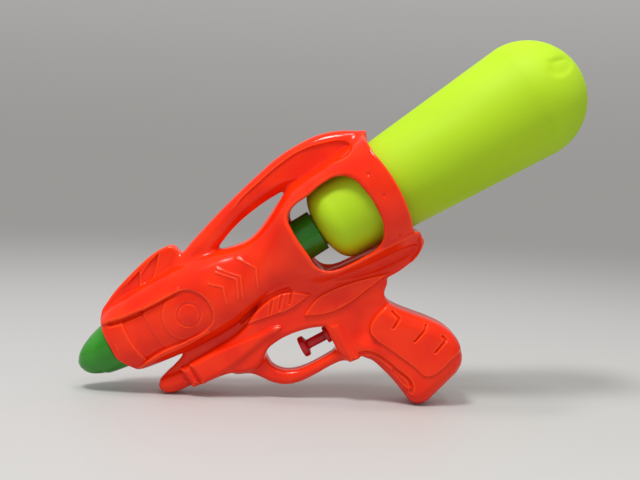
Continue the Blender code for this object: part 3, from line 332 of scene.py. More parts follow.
@dataclass
class Field:
    """A block of signed distances over one half of the body, below 0 inside the plastic."""

    low: tuple = (14.0, -116.0, -2.0)
    high: tuple = (206.0, 52.0, 34.0)
    step: float = 0.5
    values: Grid = field(init=False, repr=False)

    def __post_init__(self) -> None:
        """Lay out the grid's axes and start with no plastic."""
        self.axes = [
            np.arange(low, high, self.step, dtype=np.float32) for low, high in zip(self.low, self.high)
        ]
        self.values = np.full([len(axis) for axis in self.axes], FAR, np.float32)

    def coarse(self, stride: int) -> Field:
        """Copy the block, or thin it out.

        Args:
            stride: How many steps lie between the points that are kept.

        Returns:
            The copy, with its own values.
        """
        twin = Field(self.low, self.high, self.step * stride)
        twin.values = self.values[::stride, ::stride, ::stride].copy()
        twin.axes = [axis[::stride] for axis in self.axes]
        return twin

    def block(self, box: tuple | None = None) -> tuple:
        """Pick a part of the grid.

        Args:
            box: Lowest and highest u and v, or None for the whole grid.

        Returns:
            The slices of that part, and its open grids of u, v and w.
        """
        slices = []
        spans = list(box) if box else []
        for k, axis in enumerate(self.axes):
            first, last = np.searchsorted(axis, spans[k]) if k < len(spans) else (0, len(axis))
            slices.append(slice(int(first), int(last)))
        return tuple(slices), np.ix_(*(axis[part] for axis, part in zip(self.axes, slices)))

    def join(self, form: Callable, blend: float, box: tuple | None = None) -> None:
        """Add a form's plastic, with a fillet where it meets what is there."""
        part, grids = self.block(box)
        self.values[part] = join_smooth(self.values[part], form(*grids), blend)

    def cut(self, form: Callable, blend: float, box: tuple | None = None) -> None:
        """Take a form away, with a rounded edge."""
        part, grids = self.block(box)
        self.values[part] = share_smooth(self.values[part], -form(*grids), blend)

    def plan(self) -> tuple:
        """Give the open grids of u and v alone."""
        return self.axes[0][:, None], self.axes[1][None, :]

    def carve(self, depth: Grid, gain: float = 1.6, least: float = 0.15) -> None:
        """Sink the sides, and less where they turn away.

        Args:
            depth: How deep each place in the side plane is sunk.
            gain: How soon the full depth is reached as the side turns to face out.
            least: How far it has to turn before it is sunk at all.
        """
        facing = np.abs(np.gradient(self.values, self.step, axis=2))
        self.values += depth[:, :, None] * np.clip(facing * gain - least, 0.0, 1.0)

    def sample(self, points: Grid) -> Grid:
        """Read the distance at points.

        Args:
            points: Rows of u, v and w.

        Returns:
            The distance at each point, between the grid's own values.
        """
        spots = (points - np.array(self.low, np.float32)) / self.step
        base = np.clip(spots.astype(int), 0, np.array(self.values.shape) - 2)
        share = spots - base
        total = np.zeros(len(points), np.float32)
        for corner in np.ndindex(2, 2, 2):
            weight = np.prod(np.where(corner, share, 1 - share), axis=1)
            total += weight * self.values[tuple((base + corner).T)]
        return total

    def beside(self, points: Grid, reach: float) -> list[tuple[Grid, Grid]]:
        """Read the distance a reach ahead of points and a reach behind them, along each axis."""
        shifts = np.eye(3, dtype=np.float32) * np.float32(reach)
        return [(self.sample(points + shift), self.sample(points - shift)) for shift in shifts]

    def slope(self, points: Grid) -> Grid:
        """Read the direction in which the distance grows fastest."""
        slopes = [ahead - behind for ahead, behind in self.beside(points, self.step)]
        return np.stack(slopes, axis=1) / (2 * self.step)

    def roundness(self, points: Grid, reach: float) -> Grid:
        """Tell ridges from creases.

        Args:
            points: Rows of u, v and w.
            reach: How far round each point is looked.

        Returns:
            A measure above 0 on ridges and below 0 in creases, as a share of 1 / reach.
        """
        around = -6 * self.sample(points)
        for ahead, behind in self.beside(points, reach):
            around += ahead + behind
        return around / reach

    def surface(self, settle: int = 3) -> tuple:
        """Draw the skin of the plastic as four-sided faces.

        Args:
            settle: How many times the points are drawn on to the true surface.

        Returns:
            The points in u, v and w, and the faces' corners, turned outwards.
        """
        inside = self.values < 0
        corners = np.zeros(tuple(n - 1 for n in inside.shape), np.uint8)
        for corner in np.ndindex(2, 2, 2):
            corners += inside[tuple(slice(c, c + n) for c, n in zip(corner, corners.shape))]
        cells = np.argwhere((corners > 0) & (corners < 8))
        number = np.full(corners.shape, -1, np.int32)
        number[tuple(cells.T)] = np.arange(len(cells))
        total = np.zeros((len(cells), 3))
        hits = np.zeros(len(cells))
        for axis in range(3):
            along = np.eye(3, dtype=int)[axis]
            for side in np.ndindex(2, 2):
                start = cells + np.insert(side, axis, 0)
                first = self.values[tuple(start.T)]
                last = self.values[tuple((start + along).T)]
                crossed = (first < 0) != (last < 0)
                share = np.where(crossed, first / np.where(crossed, first - last, 1), 0)
                total[crossed] += (start + share[:, None] * along)[crossed]
                hits += crossed
        points = (total / hits[:, None] * self.step + np.array(self.low)).astype(np.float32)
        for _ in range(settle):
            slope = self.slope(points)
            size = np.maximum((slope ** 2).sum(axis=1), 0.25)
            move = np.clip(self.sample(points) / size, -self.step, self.step)
            points -= move[:, None] * slope
        faces = []
        for axis in range(3):
            ahead, behind = [slice(None)] * 3, [slice(None)] * 3
            ahead[axis], behind[axis] = slice(1, None), slice(None, -1)
            first, last = inside[tuple(behind)], inside[tuple(ahead)]
            spots = np.argwhere(first != last)
            outward = first[tuple(spots.T)]
            one, two = np.eye(3, dtype=int)[[(axis + 1) % 3, (axis + 2) % 3]]
            around = (one + two, two, 0 * one, one)
            quads = np.stack([number[tuple((spots - step).T)] for step in around], axis=1)
            quads[~outward] = quads[~outward][:, ::-1]
            faces.append(quads)
        return points, np.concatenate(faces)


@dataclass(frozen=True)
class Slab:
    """An outline drawn out from the seam to a half width, with rounded edges inside it."""

    outline: Outline
    half_width: float
    edge: float

    def __call__(self, u: Grid, v: Grid, w: Grid) -> Grid:
        """Measure the distance to the slab.

        Args:
            u: Open grid of u.
            v: Open grid of v.
            w: Open grid of w.

        Returns:
            The distance, below 0 inside.
        """
        inward = self.outline.distance(u[:, :, 0], v[:, :, 0])[:, :, None] + self.edge
        across = np.abs(w) - self.half_width + self.edge
        outside = np.hypot(np.maximum(inward, 0), np.maximum(across, 0))
        return np.minimum(np.maximum(inward, across), 0) + outside - self.edge

    def box(self, margin: float = 5.0) -> tuple:
        """Give the part of the grid that the slab can change."""
        return self.outline.box(margin)


# Modelling by hand


@contextmanager
def edit_mode() -> Iterator[None]:
    """Work on the active piece in edit mode, with all of it selected at the start."""
    bpy.ops.object.mode_set(mode="EDIT")
    bpy.ops.mesh.select_all(action="SELECT")
    yield
    bpy.ops.object.mode_set(mode="OBJECT")


def read_all(items: Sequence, key: str, width: int, kind: type = np.float32) -> Grid:
    """Read one value of every item of a mesh.

    Args:
        items: The mesh's vertices, loops or faces.
        key: The value's name.
        width: How many numbers the value has.
        kind: The numbers' type.

    Returns:
        A row of numbers for each item.
    """
    flat = np.empty(len(items) * width, kind)
    items.foreach_get(key, flat)
    return flat.reshape(-1, width)


def move_points(piece: Piece, spots: Grid) -> None:
    """Move a piece's vertices to rows of x, y and z."""
    piece.data.vertices.foreach_set("co", spots.ravel())
    piece.data.update()


def stepped(stations: Sequence[float], radii: Sequence[float]) -> list[tuple[float, float]]:
    """List a stepped profile, whose radius changes to the next one at each station."""
    steps = zip(stations, radii, radii[1:])
    return [(station, radius) for station, *pair in steps for radius in pair]


def draw_profile(name: str, profile: Profile) -> Piece:
    """Draw a plane together into one point and extrude that through a profile.

    Args:
        name: The piece's name.
        profile: Points of (station, radius).

    Returns:
        The piece, a line of edges over the X axis.
    """
    bpy.ops.mesh.primitive_plane_add(size=1.0)
    piece = bpy.context.object
    piece.name = piece.data.name = name
    with edit_mode():
        bpy.ops.mesh.merge(type="CENTER")
        bpy.ops.transform.translate(value=(profile[0][0], 0.0, profile[0][1]))
        for first, last in zip(profile, profile[1:]):
            move = (last[0] - first[0], 0.0, last[1] - first[1])
            bpy.ops.mesh.extrude_vertices_move(TRANSFORM_OT_translate={"value": move})
    return piece


def turned(name: str, profile: Profile, sides: int) -> Piece:
    """Draw a profile and spin it about the X axis.

    Args:
        name: The piece's name.
        profile: Points of (station, radius), from one end on the axis to the other.
        sides: How many faces go round.

    Returns:
        The closed piece.
    """
    piece = draw_profile(name, profile)
    with edit_mode():
        bpy.ops.mesh.spin(steps=sides, angle=FULL_TURN, center=(0.0, 0.0, 0.0), axis=(1.0, 0.0, 0.0))
        clean_up()
    return piece


def clean_up() -> None:
    """Merge the doubles of the piece in edit mode and turn its faces outwards."""
    bpy.ops.mesh.select_all(action="SELECT")
    bpy.ops.mesh.remove_doubles(threshold=WELD)
    bpy.ops.mesh.normals_make_consistent(inside=False)


def choose(piece: Piece) -> None:
    """Select one piece alone and make it active."""
    bpy.ops.object.select_all(action="DESELECT")
    piece.select_set(True)
    bpy.context.view_layer.objects.active = piece


def apply_modifier(piece: Piece, kind: str, **values: object) -> None:
    """Add a modifier and apply it.

    Args:
        piece: The piece that it changes.
        kind: The modifier's type.
        values: The modifier's settings.
    """
    choose(piece)
    modifier = piece.modifiers.new(kind.title(), kind)
    for key, value in values.items():
        setattr(modifier, key, value)
    bpy.ops.object.modifier_apply(modifier=modifier.name)


def combine(piece: Piece, tool: Piece, operation: str, solver: str) -> None:
    """Join a tool to a piece or cut it out of it, and throw the tool away."""
    apply_modifier(piece, "BOOLEAN", operation=operation, solver=solver, object=tool)
    bpy.data.objects.remove(tool, do_unlink=True)


def wind(section: Piece, pitch: float, turns: int, steps: int) -> None:
    """Wind a drawn section about the X axis and close both of its ends.

    Args:
        section: The closed line that is wound.
        pitch: How far a turn advances.
        turns: How many turns there are.
        steps: How many steps a turn has.
    """
    apply_modifier(
        section, "SCREW", axis="X", angle=FULL_TURN, screw_offset=pitch, iterations=turns,
        steps=steps, render_steps=steps,
    )
    with edit_mode():
        bpy.ops.mesh.fill_holes(sides=0)
        clean_up()


def drop_bubbles(piece: Piece) -> None:
    """Delete every part of a mesh that isn't joined to its foremost vertex.

    Args:
        piece: The piece that is cleared.
    """
    choose(piece)
    foremost = int(read_all(piece.data.vertices, "co", 3)[:, 0].argmin())
    with edit_mode():
        bpy.ops.mesh.select_mode(type="VERT")
        bpy.ops.mesh.select_all(action="DESELECT")
    piece.data.vertices[foremost].select = True
    bpy.ops.object.mode_set(mode="EDIT")
    bpy.ops.mesh.select_linked()
    bpy.ops.mesh.select_all(action="INVERT")
    bpy.ops.mesh.delete(type="VERT")
    bpy.ops.object.mode_set(mode="OBJECT")


def round_edges(piece: Piece, width: float, segments: int = 3, angle: float = 32.0) -> None:
    """Round the edges of a piece that are sharper than an angle."""
    apply_modifier(
        piece, "BEVEL", width=width, segments=segments, limit_method="ANGLE",
        angle_limit=math.radians(angle), use_clamp_overlap=True, harden_normals=False,
    )


def settle(piece: Piece, place: Matrix, smooth: float = 40.0) -> Piece:
    """Carry a piece into the frame, with its place in its mesh.

    Args:
        piece: The finished piece, in millimetres.
        place: The matrix that carries it.
        smooth: The angle, in degrees, up to which its edges are shaded smooth.

    Returns:
        The same piece.
    """
    choose(piece)
    piece.matrix_world = place
    bpy.ops.object.transform_apply(location=True, rotation=True, scale=True)
    bpy.ops.object.shade_smooth_by_angle(angle=math.radians(smooth))
    return piece


def turned_at(stance: Stance, u: float, v: float, turn: float = 0.0) -> Matrix:
    """Give the place at (u, v) whose X axis is turned up by an angle in the side plane."""
    return stance.matrix() @ Matrix.Translation((u, 0.0, v)) @ Matrix.Rotation(-turn, 4, "Y")


def show(piece: Piece, body: Body, slot: Slot, finishes: Finishes, *nodes: str) -> None:
    """Dress a piece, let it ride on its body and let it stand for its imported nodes.

    Args:
        piece: The piece, in the frame.
        body: The body that carries it.
        slot: Its material slot.
        finishes: The finish of every slot.
        nodes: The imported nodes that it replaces.
    """
    piece.data.materials.clear()
    piece.data.materials.append(finishes[slot])
    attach(piece, body.value)
    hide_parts(*nodes)
    log.info("%s: %d faces", piece.name, len(piece.data.polygons))


# Tank


@dataclass
class Tank:
    """The blow-moulded tank with its threaded neck, on an axis through the middle of the cap."""

    tilt: float = math.radians(3.8)
    cap_station: float = 146.0
    neck_start: float = -11.9
    shoulder_start: float = 5.3
    shoulder_radius: float = 24.2
    shoulder_length: float = 14.8
    shoulder_roundness: float = 2.5
    rear_radius: float = 33.4
    body_length: float = 121.0
    dome_length: float = 32.9
    neck_radius: float = 9.0
    bore_radius: float = 6.8
    wall: float = 1.4
    thread_height: float = 1.0
    thread_pitch: float = 3.0
    thread_root: float = 0.3
    thread_foot: float = 0.6
    thread_crest: float = 0.3
    thread_turns: int = 2
    thread_steps: int = 48
    edge: float = 0.5
    edge_angle: float = 50.0
    rings: int = 96
    sides: int = 160

    # Marks in the near side of the dome: each place is a station and a height over the axis
    dent: tuple[float, float] = (161.5, 7.5)
    dent_size: tuple[float, float] = (10.0, 6.5)
    dent_depth: float = 1.0
    fold: tuple[float, float] = (161.0, 11.2)
    fold_half: float = 5.0
    fold_slope: float = 0.3
    fold_width: float = 1.8
    fold_depth: float = 0.55
    crease: tuple[float, float] = (139.6, -20.0)
    crease_lean: float = 0.24
    crease_depth: float = 0.5
    skin_drop: float = 0.1
    parting_height: float = 0.2
    parting: tuple[float, float] = (0.15, 0.9)

    @property
    def shoulder_end(self) -> float:
        """Give the station where the shoulder meets the tapered body."""
        return self.shoulder_start + self.shoulder_length

    @property
    def dome_start(self) -> float:
        """Give the station where the tapered body meets the dome."""
        return self.shoulder_end + self.body_length

    def radius(self, station: Grid) -> Grid:
        """Find the tank's outer radius.

        Args:
            station: Stations along the axis.

        Returns:
            The radius at each.
        """
        share = np.clip((self.shoulder_end - station) / self.shoulder_length, 0.0, 1.0)
        power = self.shoulder_roundness
        shoulder = self.shoulder_radius * (1 - share ** power) ** (1 / power)
        taper = (self.rear_radius - self.shoulder_radius) / self.body_length
        body = self.shoulder_radius + taper * np.clip(station - self.shoulder_end, 0.0, self.body_length)
        past = np.clip((station - self.dome_start) / self.dome_length, 0.0, 1.0)
        dome = self.rear_radius * np.sqrt(1 - past ** 2)
        rear = np.where(station < self.dome_start, body, dome)
        return np.where(station < self.shoulder_end, shoulder, rear)

    def along(self, u: Grid, v: Grid, w: Grid) -> tuple:
        """Measure places by the tank's axis.

        Args:
            u: Open grid of u.
            v: Open grid of v.
            w: Open grid of w.

        Returns:
            The station along the axis and the distance from it.
        """
        ahead = u - self.cap_station
        station = ahead * math.cos(self.tilt) + v * math.sin(self.tilt)
        rise = v * math.cos(self.tilt) - ahead * math.sin(self.tilt)
        return station, np.hypot(rise, w)

    def side(self, inset: float, mouth: float, rings: int) -> list[tuple[float, float]]:
        """Draw one skin of the tank.

        Args:
            inset: How far the skin lies inside the outer one.
            mouth: The radius that it ends with at the neck.
            rings: How many points its body has.

        Returns:
            Points of (station, radius) from the tip of the dome to the mouth.
        """
        count = rings // 2
        angles = [QUARTER * k / count for k in range(count)]
        dome_length, dome_radius = self.dome_length - inset, self.rear_radius - inset
        points = []
        for angle in angles:
            points.append((self.dome_start + dome_length * math.cos(angle), dome_radius * math.sin(angle)))
        for station in np.linspace(self.dome_start, self.shoulder_end, rings):
            points.append((float(station), float(self.radius(station)) - inset))
        power = 2 / self.shoulder_roundness
        length = self.shoulder_length - inset
        for angle in angles[1:]:
            radius = (self.shoulder_radius - inset) * math.cos(angle) ** power
            if radius > mouth + self.wall:
                points.append((self.shoulder_end - length * math.sin(angle) ** power, radius))
        points.append((self.shoulder_start + inset, mouth))
        return points

    def add_thread(self) -> Piece:
        """Wind the ridge of the thread about the neck.

        Returns:
            The closed ridge.
        """
        root, crest = self.neck_radius - self.thread_root, self.neck_radius + self.thread_height
        start = self.neck_start + self.thread_pitch / 2
        foot, top = self.thread_foot, self.thread_crest
        profile = ((start - foot, root), (start - top, crest), (start + top, crest), (start + foot, root))
        ridge = draw_profile("neck_thread", profile)
        with edit_mode():
            bpy.ops.mesh.edge_face_add()
            bpy.ops.mesh.delete(type="ONLY_FACE")
        wind(ridge, self.thread_pitch, self.thread_turns, self.thread_steps)
        return ridge

    def press_marks(self, piece: Piece) -> None:
        """Press a dent, a fold and a crease into the dome, and raise the mould's faint parting line.

        Args:
            piece: The turned tank, on its own axis.
        """
        spots = read_all(piece.data.vertices, "co", 3)
        station, across, rise = spots.T
        size = np.hypot(across, rise)
        outside = size > self.radius(station) - self.wall / 2
        near = across < 0
        (dent_along, dent_up), (long, high) = self.dent, self.dent_size
        hollow = np.hypot((station - dent_along) / long, (rise - dent_up) / high)
        sink = self.dent_depth * fade(0.5, 1.0, hollow) * near
        past = station - self.fold[0]
        off = rise - self.fold[1] + self.fold_slope * past
        fold = np.hypot(np.maximum(np.abs(past) - self.fold_half, 0.0), off)
        sink += self.fold_depth * fade(0.0, self.fold_width, fold) * near
        off = rise - self.crease[1]
        past = station - self.crease[0] - self.crease_lean * off
        crease = ease(-3.5, -0.4, past) * fade(-0.4, 0.5, past) * fade(5.0, 9.0, np.abs(off))
        sink += self.crease_depth * crease * near
        sink += self.skin_drop + self.parting_height * ease(*self.parting, np.abs(across))
        inward = np.stack((np.zeros(len(spots)), across, rise), axis=1) / np.maximum(size, 1e-3)[:, None]
        spots -= inward * (sink * outside)[:, None]
        move_points(piece, spots)

    def make(self, stance: Stance) -> Piece:
        """Build the tank in the frame.

        Args:
            stance: Where the side plane stands.

        Returns:
            The tank with its neck, thread and bore.
        """
        profile = self.side(0.0, self.neck_radius, self.rings)
        profile += [(self.neck_start, self.neck_radius), (self.neck_start, self.bore_radius)]
        profile += reversed(self.side(self.wall, self.bore_radius, self.rings // 3))
        piece = turned("tank_moulding", profile, self.sides)
        round_edges(piece, self.edge, 2, self.edge_angle)
        self.press_marks(piece)
        combine(piece, self.add_thread(), "UNION", "MANIFOLD")
        return settle(piece, turned_at(stance, self.cap_station, 0.0, self.tilt), self.edge_angle)


# Body


@dataclass
class Relief:
    """A map of how deep the sides are sunk, over the side plane."""

    u: Grid
    v: Grid
    depth: Grid = field(init=False, repr=False)

    def __post_init__(self) -> None:
        """Start with plain sides."""
        self.depth = np.zeros(np.broadcast(self.u, self.v).shape, np.float32)

    def groove(self, points: tuple, width: float, deep: float) -> None:
        """Sink a round groove along an open line, or raise a ridge with a depth below 0."""
        gap = Outline(points, closed=False).distance(self.u, self.v)
        self.depth += deep * fade(0.0, width, gap)

    def panel(self, points: tuple, deep: float, soft: float) -> Grid:
        """Sink the inside of a closed line, or raise it.

        Args:
            points: The line's points.
            deep: How deep it is sunk.
            soft: The width of its soft edge.

        Returns:
            How far inside the line each place lies.
        """
        inward = -Outline(points).distance(self.u, self.v)
        self.depth += deep * ease(-soft / 2, soft / 2, inward)
        return inward

    def ring(self, middle: tuple, radius: float, width: tuple, deep: float) -> None:
        """Sink a ring about a point, or a dimple with a radius of 0, which fades out over a width."""
        gap = np.abs(np.hypot(self.u - middle[0], self.v - middle[1]) - radius)
        self.depth += deep * fade(*width, gap)

    def vent(self, points: tuple, wall: tuple, deep: float, run: float) -> None:
        """Sink the inside of a closed line along a wall, and let it run out away from the wall.

        Args:
            points: The closed line's points.
            wall: The points of the wall, an open line.
            deep: How deep it is sunk at the wall.
            run: How far from the wall it runs out.
        """
        inward = -Outline(points).distance(self.u, self.v)
        gap = Outline(wall, closed=False).distance(self.u, self.v)
        self.depth += deep * ease(-0.4, 0.4, inward) * fade(0.0, run, gap)


@dataclass
class Shell:
    """The two moulded halves of the body, with everything that is moulded into their sides."""

    tank: Tank
    seam_gap: float = 0.1
    seat: float = 20.0
    front_lean: float = 5.0
    front_foot: tuple[float, float] = (-8.0, -22.0)
    front_edge: float = 1.6
    front_wall: float = 4.0
    tail: float = 200.4
    tail_bow: float = 3.0
    tail_middle: float = 1.0
    tail_half: float = 23.0
    tail_edge: float = 1.2
    nozzle_axis: float = -3.7
    pump_axis: float = -54.0
    housing_face: float = 129.4
    roundness: float = 2.6
    wall: float = 2.2
    thinnest: float = 1.2
    cradle_clearance: float = 0.8
    cradle_wall: float = 4.0
    cradle_top: float = 5.0
    cradle_floor: float = 6.0
    throat: float = 19.0
    throat_start: float = -7.7
    throat_share: float = 0.6
    screw_hole: float = 2.9
    screw_shank: float = 1.5
    screw_boss: float = 4.3
    screw_seat: float = 4.2
    screw_play: float = 0.6
    screw_reach: float = 5.9
    screw_margin: float = 6.0
    floor_gap: float = 0.05
    flank_sharpness: float = 1.9
    flank_slope: float = 0.7
    room_end: float = 0.8
    most_faces: int = 150000
    edge_reach: float = 1.0
    hollow_stride: int = 4
    outside: Field = field(init=False, repr=False)

    # Bores for the nozzle, the gland with the pump, and the cap: radius, middle and half length
    nozzle_bores: tuple = ((12.6, 0.0, 5.0), (14.2, 4.9, 1.4))
    gland_bores: tuple = ((4.3, 0.0, 3.0), (6.9, 6.6, 4.6))
    cap_bores: tuple = ((12.3, -12.0, 6.2), (14.5, -12.45, 1.6))

    # Barrel sections: u, top, bottom and half width
    rows: tuple = (
        (20.0, 13.0, -19.1, 16.0),
        (23.4, 15.3, -20.8, 16.8),
        (28.0, 17.3, -22.4, 17.75),
        (36.0, 18.3, -23.6, 18.77),
        (50.0, 19.6, -25.0, 19.79),
        (66.0, 20.2, -25.6, 20.4),
        (82.0, 19.4, -25.2, 19.99),
        (95.0, 17.3, -23.2, 18.56),
        (106.0, 14.8, -20.6, 17.24),
        (114.0, 14.2, -19.4, 16.83),
        (122.0, 16.2, -20.2, 17.44),
        (130.0, 20.0, -22.6, 19.58),
    )

    # Stations along the tank where the cradle's sections stand
    cradle_stations: tuple = (-8.0, 1.0, 12.0, 26.0, 41.0, 54.4)

    # Flank under the cradle: u, upper edge, lower edge and the half width of each
    flank_rows: tuple = (
        (122.0, -15.0, -31.0, 13.0, 11.0),
        (134.0, -18.5, -34.0, 17.0, 11.2),
        (150.0, -22.0, -37.5, 22.4, 11.4),
        (168.0, -23.5, -40.2, 22.6, 11.4),
        (184.0, -24.2, -39.9, 23.0, 11.4),
        (193.0, -24.6, -37.4, 22.8, 12.0),
        (200.0, -25.0, -32.4, 22.6, 15.0),
    )

    # Flute under the cradle's lip: u, height, half width and radius of its round
    flute_rows: tuple = (
        (136.0, -24.6, 17.4, -0.6),
        (142.0, -26.2, 16.6, 0.8),
        (150.0, -28.4, 15.9, 2.2),
        (165.0, -31.2, 15.6, 4.0),
        (180.0, -32.6, 15.2, 4.2),
        (190.0, -32.8, 14.6, 3.4),
        (194.4, -32.6, 14.4, 1.8),
        (197.0, -32.4, 14.4, -1.0),
    )

    # Rooms for the pump, its valves, the jet, the spout and the two hoses: radius and path
    rooms: tuple = (
        (7.1, ((131.2, -54.0, 0.0), (156.3, -54.0, 0.0))),
        (4.5, ((152.3, -32.4, 0.0), (152.3, -75.2, 0.0))),
        (6.8, ((25.5, -3.7, 0.0), (34.0, -3.7, 0.0))),
        (4.2, ((121.6, -1.6, 0.0), (130.5, -1.0, 0.0))),
        (3.1, (
            (126.1, -2.0, 0.0), (126.8, -12.3, 0.0), (126.0, -19.0, 0.0), (128.0, -26.4, 0.0),
            (132.5, -32.2, 0.0), (138.0, -35.3, 0.0), (142.5, -35.9, 0.0), (149.0, -35.9, 0.0),
        )),
        (3.4, (
            (155.0, -72.1, 0.0), (162.1, -72.1, 0.0), (166.0, -70.6, 1.2), (167.0, -65.5, 3.6),
            (163.4, -58.8, 5.6), (160.0, -52.0, 6.5), (157.0, -46.0, 6.8), (149.0, -41.2, 6.8),
            (139.0, -36.6, 6.6), (129.0, -30.0, 6.2), (120.0, -21.0, 5.4), (110.0, -12.5, 3.6),
            (96.0, -6.6, 1.2), (80.0, -4.2, 0.0), (60.0, -3.7, 0.0), (27.0, -3.7, 0.0),
        )),
    )

    # Screws: u and v
    screws: tuple = (
        (44.0, 13.2), (100.0, 7.5), (66.0, -36.5), (172.0, -89.0), (186.0, -33.4), (101.0, 26.4),
    )

    def cradle_radius(self, station: Grid) -> Grid:
        """Find the radius of the hollow that the cap and the tank lie in.

        Args:
            station: Stations along the tank's axis.

        Returns:
            The radius at each.
        """
        span = (self.tank.shoulder_end - self.throat_start) * self.throat_share
        share = np.clip((station - self.throat_start) / span, 0.0, 1.0)
        wall = self.throat + (self.tank.shoulder_radius - self.throat) * np.sin(share * math.pi / 2)
        return np.maximum(wall, self.tank.radius(station)) + self.cradle_clearance

    def front(self, v: Grid) -> Grid:
        """Give the u of the barrel's front edge, which leans back at its foot."""
        return self.seat + self.front_lean * ease(*self.front_foot, v)

    def barrel(self, u: Grid, v: Grid, w: Grid) -> Grid:
        """Measure the distance to the barrel and the cradle's outside.

        Args:
            u: Open grid of u.
            v: Open grid of v.
            w: Open grid of w.

        Returns:
            The distance, below 0 inside.
        """
        rows = list(self.rows)
        for station in self.cradle_stations:
            radius = float(self.cradle_radius(np.array(station)))
            middle = station * math.sin(self.tank.tilt)
            rows.append((
                self.tank.cap_station + station, middle + radius + self.cradle_top,
                middle - radius - self.cradle_floor, radius + self.cradle_wall,
            ))
        top, bottom, half = smooth_columns(rows, u)
        power = self.roundness
        high = (top - bottom) / 2
        rise = np.maximum(np.abs(v - (top + bottom) / 2) / high, 1e-3)
        reach = np.maximum(np.abs(w) / half, 1e-3)
        ring = (rise ** power + reach ** power) ** (1 / power)
        lean = np.hypot((rise / ring) ** (power - 1) / high, (reach / ring) ** (power - 1) / half)
        side = ((ring - 1) / lean).astype(np.float32)
        tail = self.tail - self.tail_bow * np.minimum(((v - self.tail_middle) / self.tail_half) ** 2, 1.0)
        return share_smooth(share_smooth(side, self.front(v) - u, self.front_edge), u - tail, self.tail_edge)

    def flank(self, u: Grid, v: Grid, w: Grid) -> Grid:
        """Measure the distance to the hollowed flanks that draw the cradle in to the keel.

        Args:
            u: Open grid of u.
            v: Open grid of v.
            w: Open grid of w.

        Returns:
            The distance, below 0 inside.
        """
        upper, lower, wide, narrow = smooth_columns(self.flank_rows, u)
        first, last = self.flank_rows[0][0], self.flank_rows[-1][0]
        share = np.clip((v - upper) / (lower - upper), 0.0, 1.0)
        half = narrow + (wide - narrow) * (1 - share) ** self.flank_sharpness
        side = (np.abs(w) - half) * self.flank_slope
        ends = share_smooth(lower - v, u - last, 1.5)
        return share_smooth(side, share_smooth(ends, share_smooth(v - upper, first - u, 1.0), 1.0), 1.5)

    def cradle(self, u: Grid, v: Grid, w: Grid) -> Grid:
        """Measure the distance to the hollow for the tank."""
        station, radius = self.tank.along(u, v, w)
        return np.maximum(radius - self.cradle_radius(station), self.throat_start - station)

    def cap_seat(self, u: Grid, v: Grid, w: Grid) -> Grid:
        """Measure the distance to the bores for the cap and its flange."""
        station, radius = self.tank.along(u, v, w)
        return bores(radius, station, self.cap_bores)

    def flute(self, u: Grid, v: Grid, w: Grid) -> Grid:
        """Measure the distance to the round flute under the cradle's lip, which ends before the tail."""
        rise, out, size = smooth_columns(self.flute_rows, u)
        return (np.hypot(v - rise, w - out) - size).astype(np.float32)

    def nozzle_seat(self, u: Grid, v: Grid, w: Grid) -> Grid:
        """Measure the distance to the bores for the nozzle and its flange."""
        return bores(np.hypot(v - self.nozzle_axis, w), u - self.seat, self.nozzle_bores)

    def room(self, u: Grid, v: Grid, w: Grid) -> Grid:
        """Measure the distance to the rooms that the pieces inside take up.

        Args:
            u: Open grid of u.
            v: Open grid of v.
            w: Open grid of w.

        Returns:
            The distance, below 0 inside.
        """
        least = np.full(np.broadcast_shapes(u.shape, v.shape, w.shape), FAR, np.float32)
        for radius, path in self.rooms:
            for first, last in zip(path, path[1:]):
                run = np.subtract(last, first)
                length = float(np.linalg.norm(run))
                steps = [axis - start for axis, start in zip((u, v, w), first)]
                along = sum(step * part for step, part in zip(steps, run / length))
                across = np.sqrt(np.maximum(sum(step ** 2 for step in steps) - along ** 2, 0.0))
                ends = np.abs(along - length / 2) - length / 2 - self.room_end
                least = np.minimum(least, np.maximum(across - radius, ends))
        return least

    def gland_seat(self, u: Grid, v: Grid, w: Grid) -> Grid:
        """Measure the distance to the hole for the pump's gland and the bore for the pump behind it."""
        return bores(np.hypot(v - self.pump_axis, w), u - self.housing_face, self.gland_bores)

    def screw_pocket(self, place: tuple, u: Grid, v: Grid, w: Grid) -> Grid:
        """Measure the distance to the pocket over a screw's head."""
        size = np.hypot(u - place[0], v - place[1])
        return np.maximum(size - self.screw_hole, self.screw_seat - self.screw_play - w)

    def screw_bore(self, place: tuple, u: Grid, v: Grid, w: Grid) -> Grid:
        """Measure the distance to the bore round a screw's shank."""
        size = np.hypot(u - place[0], v - place[1])
        return np.maximum(size - self.screw_shank, w - self.screw_reach)

